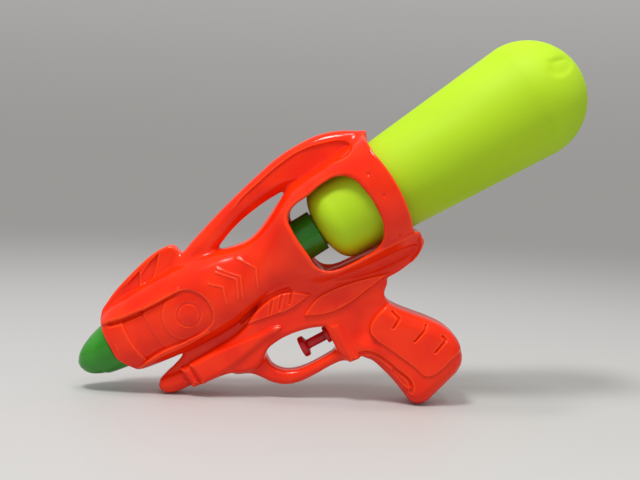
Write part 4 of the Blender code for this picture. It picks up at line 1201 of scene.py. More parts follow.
    def forms(self) -> tuple:
        """List the slabs of the body.

        Returns:
            Each slab, with the fillet that joins it to those before it.
        """
        face = self.housing_face
        web = Outline((
            (33.4, -33.6), (36.6, -30.9), (43.4, -28.9), (50, -26.4), (60, -20), (104, -16), (110, -26),
            (102, -36), (60, -40), (40, -38.5),
        ))
        keel = Outline((
            (53.8, -31.4, CORNER), (72, -30.6), (86, -29.2), (95, -25.6), (104, -20), (114, -15), (130, -16),
            (150, -21), (173, -27), (172, -42), (167, -48), (166.4, -53), (160, -66), (140, -72.4),
            (132, -71.6, CORNER), (face, -63.6, CORNER), (face, -48.4, CORNER),
            (124.5, -46.2), (118, -44.4), (110, -43.2), (102, -43.3), (95.5, -44.8), (91.4, -48), (86, -51),
            (79, -50.4), (72, -47.2), (60, -45.2), (53.8, -44.7, CORNER),
        ))
        nose = Outline((
            (31, -36.6), (32.1, -33.2), (35, -31.2), (40, -31.3), (48, -32.2, CORNER), (50, -33, CORNER),
            (50, -43.2, CORNER), (43, -42.9), (37, -42.2), (33.2, -40.4),
        ))
        collar = Outline((
            (47.2, -31.2, CORNER), (54, -31.8, CORNER), (54.8, -44.8, CORNER), (48.6, -44.1, CORNER),
        ))
        bullet = Outline((
            (53.2, -31.4, CORNER), (66, -31.3), (80, -32.3), (96, -33.9), (106, -34.6), (108.9, -36.8),
            (106.6, -38.8), (96, -40), (84, -42.6), (72, -44.8), (54.4, -44.9, CORNER),
        ))
        guard = Outline((
            (72, -47.2), (79.6, -52.2), (84, -57.3), (88.4, -63), (94, -67.4), (101, -69.8), (111, -70.4),
            (123, -70.1), (134, -71.2, CORNER), (134, -63.4, CORNER), (127, -63.6), (118, -64), (108, -63.7),
            (101.5, -62.2), (96, -58.8), (92.8, -54), (92, -49.5), (86, -44), (76, -43),
        ))
        plate = Outline((
            (132, -48.5, CORNER), (137.6, -49.5, CORNER), (138.4, -73, CORNER), (132.4, -72.3, CORNER),
        ))
        grip = Outline((
            (142, -60), (140.4, -73.5), (143.6, -77.6), (146.6, -85.4), (149, -94), (150.6, -102.6),
            (151.8, -108.4), (155, -111.6), (160.5, -112.4, CORNER), (182, -106, CORNER), (187.4, -102),
            (190.2, -96), (191, -88.5), (188.6, -80.8), (183, -72.6), (176, -64.6), (170, -57.6),
            (166.8, -53), (160, -47), (148, -52),
        ))
        crest = Outline((
            (20.6, 11.5), (22.8, 16.8), (28, 20.1), (35, 23.5), (45, 27), (55, 30), (63, 31.8), (70, 32.2),
            (75, 31.2), (76.6, 28), (76, 20), (70, 12), (40, 7), (25, 6),
        ))
        arch = Outline((
            (70, 20), (80, 25.3), (95, 31), (115, 37.5), (135, 43), (150, 46.5), (165, 47.6), (176, 46.9),
            (188, 43.2), (195, 39.4), (200.6, 36.6, CORNER), (198.4, 31.5), (196.6, 26),
            (192, 20, CORNER), (165, 26), (150, 27.4), (147.4, 28.4), (138, 28.5), (126, 27.2), (112, 24),
            (97, 18, CORNER), (88, 13), (72, 12),
        ))

        # Each outline with its half width and its rounded edge, and the fillet that joins it
        return (
            (Slab(web, 6.0, 2.0), 1.0),
            (Slab(keel, 12.0, 3.0), 1.6),
            (Slab(nose, 9.0, 5.4), 0.6),
            (Slab(collar, 12.2, 3.6), 0.4),
            (Slab(bullet, 14.0, 3.2), 0.6),
            (Slab(guard, 6.8, 3.3), 4.5),
            (Slab(plate, 12.9, 2.4), 0.8),
            (Slab(grip, 14.5, 8.5), 2.5),
            (Slab(crest, 5.6, 1.8), 2.0),
            (Slab(arch, 8.2, 6.0), 3.0),
        )

    def relief(self, u: Grid, v: Grid) -> Grid:
        """Add up the panels, grooves and ridges moulded into the sides.

        Args:
            u: Open grid of u.
            v: Open grid of v.

        Returns:
            The depth at each place, above 0 where the side is sunk.
        """
        relief = Relief(u, v)
        for mark in (self.mark_barrel, self.mark_rear, self.mark_grip):
            mark(relief)
        return relief.depth

    def mark_barrel(self, relief: Relief) -> None:
        """Add the marks of the barrel, the crest and the pump's housing.

        Args:
            relief: The map that they are added to.
        """
        u, v = relief.u, relief.v

        # Tongue panel under the hood, sunk between two lips, in stepped sections that end in a ringed disc
        inward = relief.panel((
            (10, 12.6, CORNER), (20, 10.9), (32, 8.3), (46, 7.2), (57, 7.0), (68, 7.0), (73, 6.0), (77, 2.6),
            (79.8, -3), (80.3, -8), (79.4, -12.6), (76.6, -16.4), (72, -18.2), (59, -18.7), (44, -17.8),
            (30, -19.2), (12, -21, CORNER),
        ), 1.2, 0.7)
        inside = ease(0.0, 0.7, inward)
        bow = ((v + 1.0) / 16.0) ** 2
        middle = (67.7, -6.5)
        first = ease(32.0, 32.6, u - 1.8 * bow)
        second = ease(44.8, 45.5, u - 1.8 * bow)
        disc = fade(14.3, 15.0, np.hypot(u - middle[0], v - middle[1]))
        flush = 1.1 * np.maximum(disc, ease(66.0, 67.0, u)) * first
        relief.depth += inside * (1.1 * first - 0.5 * second * (1 - disc) - flush)
        relief.ring(middle, 6.3, (0.0, 0.8), 0.55)
        relief.ring(middle, 0.0, (0.0, 5.0), -0.3)
        relief.groove(((26, 9.0), (33, 7.6), (45, 6.6)), 2.2, 1.5)
        relief.groove(((45, 6.6), (57, 6.4), (66, 6.3)), 1.0, 0.8)
        relief.groove(((20, 12.6), (33, 9.7), (46, 8.6), (58, 8.4), (69, 8.4)), 2.2, -0.6)
        relief.groove(((29, -20.9), (44, -20.0), (59, -21.0), (72, -20.4)), 2.2, -0.8)

        # Four arrow ridges behind the panel
        for tip, top, foot in (
            ((91.5, -2), (85.4, 3.4), (89, -11)), ((102.4, -1.6), (93, 8.6), (98, -12.6)),
            ((100.0, -1.8), (91.6, 7), (95.8, -11.4)), ((112, -1.4), (105, 8.6), (108, -11)),
        ):
            relief.groove((top, (*tip, CORNER), foot), 0.9, -0.55)

        # Two vents scooped into the crest
        relief.vent((
            (34, 18.6), (44, 23.8), (52.3, 26.6, CORNER), (48.6, 19.2, CORNER),
        ), ((52.3, 26.6), (48.6, 19.2)), 1.5, 12.0)
        relief.vent((
            (49.6, 20.2), (56, 26.4), (66.5, 30.5, CORNER), (61, 23.8), (57.2, 20, CORNER),
        ), ((66.5, 30.5), (61, 23.8), (57.2, 20)), 1.7, 9.0)

        # Ribbed lens under a dark crease in front of the finger guard, and the leaf over the pump
        relief.groove(((90, -24.6), (95, -22.8), (105, -20.0), (115, -19.2), (122, -20.4)), 1.8, 1.2)
        relief.panel((
            (87.6, -26.4, CORNER), (97, -23.8), (107, -21.3), (116, -20.8), (124, -23.4),
            (131, -28.6, CORNER), (117, -30.4), (109, -29.3), (97, -27.4),
        ), -1.1, 0.9)
        for foot in (106.0, 112.0, 118.5):
            relief.groove(((foot, -27.6), (foot + 4.6, -21.8)), 1.0, 0.9)
        relief.panel((
            (122.4, -37.3, CORNER), (128, -34.2), (133, -32.2), (140, -31.6), (150, -32.5), (160, -34.4),
            (175, -38.4, CORNER), (165, -39.8), (155, -41.7), (145, -43.0), (135, -42.2), (128, -39.9),
        ), -1.6, 0.8)

    def mark_rear(self, relief: Relief) -> None:
        """Add the marks of the arch and the cradle.

        Args:
            relief: The map that they are added to.
        """
        u, v = relief.u, relief.v

        # Arch: a scoop over the tank that runs out towards the front strut
        scoop = -Outline((
            (74, 21.6, CORNER), (95, 27.6), (112, 32.6), (119, 35.2), (135, 39.4), (150, 42.8), (165, 43.8),
            (177, 41.4), (186, 38.0), (189.4, 33.4), (188, 30.4), (170, 30.0), (150, 29), (138, 25),
            (126, 23), (112, 19), (97, 13, CORNER), (84, 17, CORNER),
        )).distance(u, v)
        slope = np.interp(u, (100.0, 124.0), (5.0, 0.9))
        relief.depth += 1.3 * ease(104.0, 124.0, u) * ease(0.0, 1.0, scoop / slope)

        # Rim that closes the flute at the tail
        relief.groove(((199.0, -28.8), (198.0, -32.4), (194.8, -36.0), (189.0, -38.6)), 1.5, -1.2)

        # Plain dimples round the cradle's rear edge
        for middle in ((189.6, 15.4), (191.6, 1.6), (189.0, -22.0)):
            relief.ring(middle, 0.0, (0.5, 1.4), 0.5)

    def mark_grip(self, relief: Relief) -> None:
        """Add the marks of the grip.

        Args:
            relief: The map that they are added to.
        """
        # Hollow in front of the grip's pad
        relief.vent((
            (138, -48), (146, -44), (156, -42.4), (167, -40.6), (172, -46), (175, -52.6),
            (166.1, -53.3), (152.9, -58.6), (150.5, -62), (150.5, -64.9), (154.9, -74.2), (159.7, -84),
            (150, -86), (137, -72),
        ), ((157.6, -56.8), (152.9, -58.6), (150.8, -61)), 4.2, 12.0)

        # Grip: a raised pad with three notches in its back, and a slit beside its front strap
        relief.panel((
            (173.4, -52.8), (166.1, -53.3), (152.9, -58.6), (150.5, -62), (150.5, -64.9), (154.9, -74.2),
            (159.7, -84), (163.6, -92.7), (164.6, -96.1), (166.6, -98.6), (169.5, -99.5), (174.4, -99.1),
            (181.2, -97.1), (194.8, -91.8), (198.7, -68.4),
        ), -1.1, 0.6)
        for points in (
            ((162.7, -65.9), (168, -63, CORNER), (166.4, -57.8)),
            ((169.5, -78.1), (177.3, -75.2, CORNER), (179.2, -73.2)),
            ((176.8, -88.8), (185.1, -85.4, CORNER), (184.4, -82.8)),
        ):
            relief.groove(points, 0.9, 1.3)
        relief.groove((
            (140, -70.4), (144.4, -72), (146.9, -74.3), (150.3, -80.1), (153.9, -88.7), (156.8, -96),
            (156.6, -99.4), (155, -102.4),
        ), 1.5, 1.2)
        relief.panel((
            (151.6, -86), (154, -89), (157, -96.2), (156.6, -99.4), (154.8, -99), (152.4, -92),
        ), 0.7, 1.0)

    def solid(self, stance: Stance) -> Field:
        """Draw one half of the body as a field, before the seam parts it.

        Args:
            stance: Where the side plane stands, for the floor that the toy stands on.

        Returns:
            The half's distances.
        """
        block = Field()
        block.join(self.barrel, 0.5)
        block.join(self.flank, 2.0, ((116, 206), (-48, -10)))
        for slab, blend in self.forms():
            block.join(slab, blend, slab.box())
        block.carve(self.relief(*block.plan()))
        block.cut(self.flute, 0.8, ((134, 200), (-42, -20)))
        thick = block.values + self.wall
        window = Slab(Outline((
            (139.4, 8), (140.4, 14.6), (145, 18.2), (156, 20.2), (166, 22.2), (174.6, 21.8), (180.2, 18),
            (183.8, 8.4), (185, -4.6), (183.2, -13.9), (177.4, -21.4), (166, -23.0), (156, -22.9),
            (152, -22.6), (146, -20.6), (142.2, -16.6), (140.8, -8),
        )), FAR, 0.0)
        block.cut(window, 2.8, window.box())
        pocket = Outline((
            (142, -9), (143.5, -22), (150, -28.4), (165, -29.4), (178, -28.4), (186.5, -18), (184, -7),
            (160, -7),
        ))
        plan = pocket.distance(*block.plan())[:, :, None]
        block.cut(lambda u, v, w: np.maximum(plan, thick), 0.5)
        block.cut(self.cradle, 0.7, ((124, 206), (-40, 44)))
        block.cut(lambda u, v, w: stance.height(u, v) - self.floor_gap, 0.3)
        self.outside = block.coarse(self.hollow_stride)
        for seat, blend, box in (
            (self.nozzle_seat, 0.7, ((14, 30), (-24, 16))),
            (self.gland_seat, 0.5, ((124, 143), (-64, -44))),
            (self.cap_seat, 0.7, ((124, 146), (-40, 44))),
        ):
            block.cut(seat, blend, box)
        return block

    def hollow(self, solid: Field) -> tuple:
        """Draw the space inside both halves, less the screw bosses.

        Args:
            solid: The half's distances.

        Returns:
            The points and faces of the space's skin.
        """
        space = solid.coarse(self.hollow_stride)
        guard = self.outside.values
        for axis in range(2):
            for block in (space.values, guard):
                beside = np.maximum(np.roll(block, 1, axis), np.roll(block, -1, axis))
                np.maximum(block, beside, out=block)
        u, v = space.plan()
        boss = np.full(space.values.shape[:2], FAR, np.float32)
        for screw_u, screw_v in self.screws:
            boss = np.minimum(boss, np.hypot(u - screw_u, v - screw_v) - self.screw_boss)
        space.values = np.maximum(space.values + self.wall, -boss[:, :, None])
        space.values = np.maximum(space.values, self.seat + self.front_wall - u[:, :, None])
        room = self.room(*np.ix_(*space.axes))
        space.values = np.minimum(space.values, np.maximum(room, guard + self.thinnest))
        inside = space.values < 0
        reached = inside.copy()
        reached[:, :, 2:] = False
        known = -1
        while reached.sum() != known:
            known = reached.sum()
            for axis in range(3):
                reached |= np.roll(reached, 1, axis) | np.roll(reached, -1, axis)
            reached &= inside
        space.values[inside & ~reached] = space.step
        space.values[:, :, 0] = space.step
        return space.surface(1)

    def make(self, name: str, side: Side, solid: Field, space: tuple, stance: Stance) -> Piece:
        """Mesh one half of the body.

        Args:
            name: The piece's name.
            side: Which half it is.
            solid: The half's distances, before the seam parts it.
            space: The points and faces of the hollow inside.
            stance: Where the side plane stands.

        Returns:
            The finished half, in the frame.
        """
        half = solid.coarse(1)
        for place in self.screws:
            box = tuple((middle - self.screw_margin, middle + self.screw_margin) for middle in place)
            if side is Side.RIGHT:
                half.cut(partial(self.screw_pocket, place), 0.6, box)
            half.cut(partial(self.screw_bore, place), 0.2, box)
        half.values = share_smooth(half.values, self.seam_gap - half.axes[2][None, None, :], 0.5)
        piece = skin(name, half.surface(), side)
        apply_modifier(piece, "DECIMATE", ratio=min(1.0, self.most_faces / (2 * len(piece.data.polygons))))
        combine(piece, skin("hollow", space, side), "DIFFERENCE", "MANIFOLD")
        drop_bubbles(piece)
        self.mark_edges(piece, half, side)
        return settle(piece, stance.matrix(), 60.0)

    def mark_edges(self, piece: Piece, half: Field, side: Side) -> None:
        """Write how sharp the moulding is at each face's corners, read a little way into the face.

        Args:
            piece: The half's mesh, in the side plane.
            half: The half's distances.
            side: Which half it is.
        """
        mesh = piece.data
        corner = read_all(mesh.loops, "vertex_index", 1, np.int32)[:, 0]
        sides = read_all(mesh.polygons, "loop_total", 1, np.int32)[:, 0]
        spots = read_all(mesh.vertices, "co", 3)[corner]
        inward = np.repeat(read_all(mesh.polygons, "center", 3), sides, axis=0) - spots
        size = np.maximum(np.linalg.norm(inward, axis=1), 1e-6)
        spots += inward * np.minimum(1.0, self.edge_reach / size)[:, None]
        spots = spots[:, (0, 2, 1)] * np.array((1, 1, side.value), np.float32)
        sharp = np.clip(0.5 + 0.5 * half.roundness(spots, self.edge_reach), 0, 1)
        # The body's finish reads this layer to paint highlight on ridges and shade in creases
        layer = mesh.attributes.new(EDGE_LAYER, "FLOAT", "CORNER")
        layer.data.foreach_set("value", sharp.astype(np.float32))


def skin(name: str, drawn: tuple, side: Side) -> Piece:
    """Make an object of a field's skin, on one side of the seam.

    Args:
        name: The piece's name.
        drawn: The points in u, v and w, and the faces' corners.
        side: The side of the seam.

    Returns:
        The object, in the side plane.
    """
    points, faces = drawn
    spots = np.stack((points[:, 0], points[:, 2] * side.value, points[:, 1]), axis=1)
    if side is Side.RIGHT:
        faces = faces[:, ::-1]
    mesh = bpy.data.meshes.new(name)
    mesh.from_pydata(spots.tolist(), [], faces.tolist())
    piece = bpy.data.objects.new(name, mesh)
    bpy.context.scene.collection.objects.link(piece)
    return piece


# Turned pieces


@dataclass
class Cap:
    """The green cap that the tank screws into, with the spout that the hose is pushed over."""

    radius: float = 12.0
    start: float = -16.2
    end: float = 5.3
    end_wall: float = 2.2
    bore: float = 10.6
    flange_height: float = 2.2
    flange_start: float = -13.7
    flange_end: float = -11.2
    spout_start: float = -23.8
    spout_radius: float = 3.6
    spigot_end: float = -8.0
    spigot_radius: float = 1.4
    port_radius: float = 0.9
    side_station: float = -20.0
    side_drop: float = 11.0
    side_radius: float = 1.4
    port_past: float = 1.0
    edge: float = 0.45
    sides: int = 96

    def make(self, stance: Stance, tank: Tank) -> Piece:
        """Build the cap in the frame.

        Args:
            stance: Where the side plane stands.
            tank: The tank, whose axis the cap shares.

        Returns:
            The cap with its spout and its side spout.
        """
        stations = (
            self.spout_start + self.end_wall, self.spigot_end, self.start + self.end_wall, self.end,
            self.flange_end, self.flange_start, self.start, self.spout_start,
        )
        radii = (
            0.0, self.port_radius, self.spigot_radius, self.bore, self.radius,
            self.radius + self.flange_height, self.radius, self.spout_radius, 0.0,
        )
        piece = turned("tank_cap_moulding", stepped(stations, radii), self.sides)
        round_edges(piece, self.edge)
        for radius, length, operation in (
            (self.side_radius, self.side_drop, "UNION"),
            (self.port_radius, self.side_drop + self.port_past, "DIFFERENCE"),
        ):
            bpy.ops.mesh.primitive_cylinder_add(
                vertices=self.sides // 3, radius=radius, depth=length,
                location=(self.side_station, 0.0, -length / 2),
            )
            combine(piece, bpy.context.object, operation, "EXACT")
        return settle(piece, turned_at(stance, tank.cap_station, 0.0, tank.tilt))


@dataclass
class Nozzle:
    """The green bullet nose, a little drooped, with its jet hole and the step under its tip."""

    tip: float = -3.4
    seat: float = 19.7
    radius: float = 14.2
    droop: float = 1.3
    bluntness: float = 1.15
    fullness: float = 2.5
    tip_share: float = 0.008
    hole_radius: float = 1.6
    socket: float = 3.3
    socket_end: float = 10.5
    groove: float = 12.3
    rear: float = 25.9
    groove_end: float = 23.7
    flange_play: float = 0.3
    edge: float = 0.3
    droop_power: float = 1.5
    lean_start: float = 10.0
    lean_end: float = 0.6
    sides: int = 240
    rings: int = 64

    # Crescent step under the tip: how deep, its upper edge and its rear edge
    step_depth: float = 0.9
    step_drop: float = 1.6
    step_slope: float = 0.32
    step_front: float = -0.6
    step_rear: float = 7.4
    step_turn: float = 0.2
    step_turn_drop: float = 4.2
    step_fade: float = 0.6

    def make(self, stance: Stance, shell: Shell) -> Piece:
        """Build the nose in the frame.

        Args:
            stance: Where the side plane stands.
            shell: The body, whose front edge the nose meets.

        Returns:
            The finished nose.
        """
        flange = self.radius - self.flange_play
        profile = stepped((self.rear, self.groove_end), (self.socket, flange, self.groove))
        profile.append((self.seat, self.groove))
        for k in range(self.rings + 1):
            share = max((1 - k / self.rings) ** 2, self.tip_share)
            size = self.radius * (1 - (1 - share) ** self.bluntness) ** (1 / self.fullness)
            profile.append((self.tip + (self.seat - self.tip) * share, size))
            if share <= self.tip_share:
                break
        profile.append((profile[-1][0], self.hole_radius))
        profile += stepped((self.socket_end,), (self.hole_radius, self.socket))
        profile.append((self.rear, self.socket))
        piece = turned("nozzle_nose", profile, self.sides)
        round_edges(piece, self.edge)
        self.press_marks(piece, shell)
        return settle(piece, turned_at(stance, 0.0, shell.nozzle_axis), 50.0)

    def press_marks(self, piece: Piece, shell: Shell) -> None:
        """Press a crescent step in under the tip, droop the tip and lean the seat like the barrel's edge.

        Args:
            piece: The turned nose, on its own axis.
            shell: The body, whose front edge the nose meets.
        """
        spots = read_all(piece.data.vertices, "co", 3)
        station, across, rise = spots.T.copy()
        size = np.maximum(np.hypot(across, rise), 1e-3)
        skin_only = ease(self.hole_radius + 0.5, self.hole_radius + 2.5, size)
        arc = rise + self.step_drop + self.step_slope * (station - self.step_front)
        edge = station - self.step_rear - self.step_turn * np.maximum(-self.step_turn_drop - rise, 0.0)
        sink = self.step_depth * fade(-0.45, 0.15, arc) * fade(-0.5, 0.2, edge) * skin_only
        sink *= 1 - ease(1.0, 8.0, -arc) * self.step_fade
        spots[:, 1] -= across / size * sink
        spots[:, 2] -= rise / size * sink
        share = np.clip((self.seat - station) / (self.seat - self.tip), 0.0, 1.0)
        spots[:, 2] -= self.droop * share ** self.droop_power * skin_only
        lean = shell.front(rise + shell.nozzle_axis) - shell.seat
        before = station < self.seat + self.edge
        spots[:, 0] += lean * ease(self.lean_start, self.seat - self.lean_end, station) * before
        move_points(piece, spots)


@dataclass
class Pump:
    """What shows of the pump: the push trigger on its rod and the gland that the rod slides through."""

    axis: float
    button_front: float = 111.5
    button_end: float = 115.5
    button_radius: float = 6.0
    rod_radius: float = 2.7
    rod_end: float = 134.7
    spigot_end: float = 137.9
    spigot_radius: float = 1.6
    gland_start: float = 126.7
    gland_end: float = 129.1
    gland_radius: float = 4.8
    gland_neck: float = 4.0
    gland_plug: float = 4.7
    cylinder_start: float = 131.7
    plug_end: float = 134.7
    gland_bore: float = 3.0
    gland_edge: float = 0.6
    port: float = 152.3
    fillet: float = 1.1
    fillet_steps: int = 4
    sides: int = 96

    # Front of the button, a shallow dish: stations from its rim, and radii
    dish: tuple = ((0.5, 0.0), (0.35, 2.6), (0.0, 4.6), (0.0, 5.4))
    rim_edge: float = 0.6
    back_edge: tuple[float, float] = (1.2, 0.6)
    back_radius: float = 5.5

    def make_trigger(self, stance: Stance) -> Piece:
        """Build the dished button and its rod, with a fillet behind the button.

        Args:
            stance: Where the side plane stands.

        Returns:
            The finished trigger.
        """
        profile = [(self.button_front + station, radius) for station, radius in self.dish]
        profile += [
            (self.button_front + self.rim_edge, self.button_radius),
            (self.button_end - self.back_edge[0], self.button_radius),
            (self.button_end - self.back_edge[1], self.back_radius),
        ]
        for k in range(self.fillet_steps + 1):
            angle = QUARTER * k / self.fillet_steps
            station = self.button_end + self.fillet * (1 - math.cos(angle))
            profile.append((station, self.rod_radius + self.fillet * (1 - math.sin(angle))))
        profile += stepped((self.rod_end, self.spigot_end), (self.rod_radius, self.spigot_radius, 0.0))
        piece = turned("trigger_moulding", profile, self.sides)
        round_edges(piece, 0.25, 2, 40.0)
        return settle(piece, turned_at(stance, 0.0, self.axis))

    def make_gland(self, stance: Stance) -> Piece:
        """Build the gland's flange, neck and plug round its bore.

        Args:
            stance: Where the side plane stands.

        Returns:
            The finished gland.
        """
        stations = (self.plug_end, self.cylinder_start, self.gland_end, self.gland_start)
        bore, edge = self.gland_bore, self.gland_edge
        profile = stepped(stations, (bore, self.gland_plug, self.gland_neck, self.gland_radius, bore + edge))
        profile += [(self.gland_start + edge, bore), (self.plug_end, bore)]
        piece = turned("gland_moulding", profile, self.sides)
        round_edges(piece, 0.3, 2)
        return settle(piece, turned_at(stance, 0.0, self.axis))

    def springs(self) -> tuple[Spring, ...]:
        """List the return spring and the springs of the two valves."""
        rod = (0.0, self.axis, 0.0)
        up, down = (self.port, self.axis, QUARTER), (self.port, self.axis, -QUARTER)
        return (
            Spring("return_spring", "trigger_push", rod, 138.5, 153.3, Held.END, 10.0, 2.3, 0.4, 5),
            Spring("inlet_spring", "inlet_lift", up, 6.5, 9.1, Held.START, 1.2),
            Spring("outlet_spring", "outlet_lift", down, 10.4, 13.0, Held.END, 1.2),
        )


@dataclass
class Spring:
    """A coil spring in the pump or in a valve, with the joint that works it, its held end and its stroke."""

    node: str
    joint: str
    place: tuple[float, float, float]
    start: float
    end: float
    held: Held
    stroke: float
    mean_radius: float = 1.4
    wire_radius: float = 0.2
    turns: int = 2
    sides: int = 12
    steps: int = 32

    def make(self, stance: Stance) -> Piece:
        """Wind the spring of one round wire about its axis.

        Args:
            stance: Where the side plane stands.

        Returns:
            The spring at rest, in the frame.
        """
        bpy.ops.mesh.primitive_circle_add(vertices=self.sides, radius=self.wire_radius, fill_type="NOTHING")
        coil = bpy.context.object
        coil.name = coil.data.name = self.node.replace("spring", "coil")
        with edit_mode():
            bpy.ops.transform.rotate(value=QUARTER, orient_axis="X")
            bpy.ops.transform.translate(value=(self.start + self.wire_radius, 0.0, self.mean_radius))
        rise = (self.end - self.start - 2 * self.wire_radius) / self.turns
        wind(coil, rise, self.turns, self.steps)
        round_edges(coil, 0.3 * self.wire_radius, 2, 60.0)
        return settle(coil, turned_at(stance, *self.place), 50.0)

    def follow(self, coil: Piece, stance: Stance) -> None:
        """Give the finished spring a mesh of its own.

        Args:
            coil: The spring, in the frame.
            stance: Where the side plane stands; not used.
        """
        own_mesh(coil)


@dataclass
class Screws:
    """The body screws, with a cross recess in each head."""

    seat: float
    head_radius: float = 2.6
    head_height: float = 1.8
    shank_radius: float = 1.2
    reach: float = 5.5
    point: float = 1.0
    slot_width: float = 0.7
    slot_length: float = 2.9
    slot_depth: float = 0.9
    rim: float = 0.5
    dome_power: float = 0.6
    dome_steps: int = 6
    turn: float = math.radians(23.0)
    sides: int = 40

    def first(self) -> Piece:
        """Turn one screw about the X axis, with its head at the far end, and cut its recess.

        Returns:
            The screw, which the others are copied from.
        """
        profile = [(-self.reach, 0.0), (-self.reach + self.point, self.shank_radius)]
        profile += stepped((self.seat,), (self.shank_radius, self.head_radius))
        profile.append((self.seat + self.rim, self.head_radius))
        for k in range(1, self.dome_steps + 1):
            angle = QUARTER * k / self.dome_steps
            radius = self.head_radius * math.cos(angle) ** self.dome_power if k < self.dome_steps else 0.0
            profile.append((self.seat + self.rim + (self.head_height - self.rim) * math.sin(angle), radius))
        screw = turned("body_screw", profile, self.sides)
        top = (self.seat + self.head_height, 0.0, 0.0)
        for wide, tall in ((self.slot_width, self.slot_length), (self.slot_length, self.slot_width)):
            bpy.ops.mesh.primitive_cube_add(size=1.0, location=top, scale=(2 * self.slot_depth, wide, tall))
            bpy.ops.object.transform_apply(location=True, rotation=True, scale=True)
            combine(screw, bpy.context.object, "DIFFERENCE", "EXACT")
        return screw

    def make(self, stance: Stance, places: Sequence[tuple[float, float]]) -> list[Piece]:
        """Build a screw for each place, each with its own mesh and its own turn of the recess.

        Args:
            stance: Where the side plane stands.
            places: The screws' (u, v) places.

        Returns:
            The screws in the frame, in the order of the places.
        """
        model = self.first()
        screws = []
        for number, (u, v) in enumerate(places, 1):
            screw = model.copy()
            screw.data = model.data.copy()
            screw.name = screw.data.name = f"screw_{number}"
            bpy.context.scene.collection.objects.link(screw)
            across = Matrix.Translation((u, 0.0, v)) @ Matrix.Rotation(QUARTER, 4, "Z")
            turn = Matrix.Rotation(self.turn * number, 4, "X")
            screws.append(settle(screw, stance.matrix() @ across @ turn, 35.0))
        bpy.data.objects.remove(model, do_unlink=True)
        return screws


# Finishes


class Tree:
    """A node tree, with short calls that add and link its nodes."""

    def __init__(self, tree: bpy.types.NodeTree) -> None:
        """Take hold of a tree."""
        self.nodes = tree.nodes
        self.links = tree.links

    def add(self, kind: str, inputs: dict | None = None, **settings: object) -> bpy.types.Node:
        """Add a node.

        Args:
            kind: The node's type, without its ShaderNode prefix.
            inputs: Values or sockets for its inputs, by name or number.
            settings: The node's own settings.

        Returns:
            The new node.
        """
        node = self.nodes.new("ShaderNode" + kind)
        for key, value in settings.items():
            setattr(node, key, value)
        for key, value in (inputs or {}).items():
            self.feed(node.inputs[key], value)
        return node

    def feed(self, target: Socket, value: object) -> None:
        """Link a socket to an input, or set the input to a value.

        Args:
            target: The input.
            value: A socket to link, or a value to set.
        """
        if isinstance(value, Socket):
            self.links.new(value, target)
        elif isinstance(value, tuple) and len(value) == 3 and target.type == "RGBA":
            target.default_value = (*value, 1.0)
        else:
            target.default_value = value

    def math(self, operation: str, first: object, second: object = 0.0) -> Socket:
        """Add a sum, and give what it puts out."""
        return self.add("Math", {0: first, 1: second}, operation=operation).outputs[0]

    def ramp(self, value: object, low: float, high: float, start: float = 0.0, end: float = 1.0) -> Socket:
        """Ease a value from one range to another."""
        inputs = {"Value": value, "From Min": low, "From Max": high, "To Min": start, "To Max": end}
        return self.add("MapRange", inputs, interpolation_type="SMOOTHSTEP").outputs["Result"]

    def noise(self, vector: object, scale: object, detail: float = 2.0) -> Socket:
        """Add a noise, and give its value."""
        return self.add("TexNoise", {"Vector": vector, "Scale": scale, "Detail": detail}).outputs[0]

    def mix(self, share: object, first: object, second: object) -> Socket:
        """Mix two colours."""
        return self.add("Mix", {0: share, 6: first, 7: second}, data_type="RGBA").outputs[2]


def new_material(name: str) -> tuple:
    """Start a material.

    Args:
        name: The material's name.

    Returns:
        The material, its tree, its shader and the socket of the place on the piece.
    """
    material = bpy.data.materials.new(name)
    material.use_nodes = True
    tree = Tree(material.node_tree)
    return material, tree, tree.nodes["Principled BSDF"], tree.add("TexCoord").outputs["Object"]


def new_group(name: str, inputs: dict[str, str], outputs: dict[str, str]) -> tuple:
    """Start a node group.

    Args:
        name: The group's name.
        inputs: Its inputs' names and kinds.
        outputs: Its outputs' names and kinds.

    Returns:
        The group, its tree, and its input and output nodes.
    """
    group = bpy.data.node_groups.new(name, "ShaderNodeTree")
    for way, sockets in (("INPUT", inputs), ("OUTPUT", outputs)):
        for label, kind in sockets.items():
            group.interface.new_socket(label, in_out=way, socket_type="NodeSocket" + kind)
    tree = Tree(group)
    return group, tree, group.nodes.new("NodeGroupInput"), group.nodes.new("NodeGroupOutput")


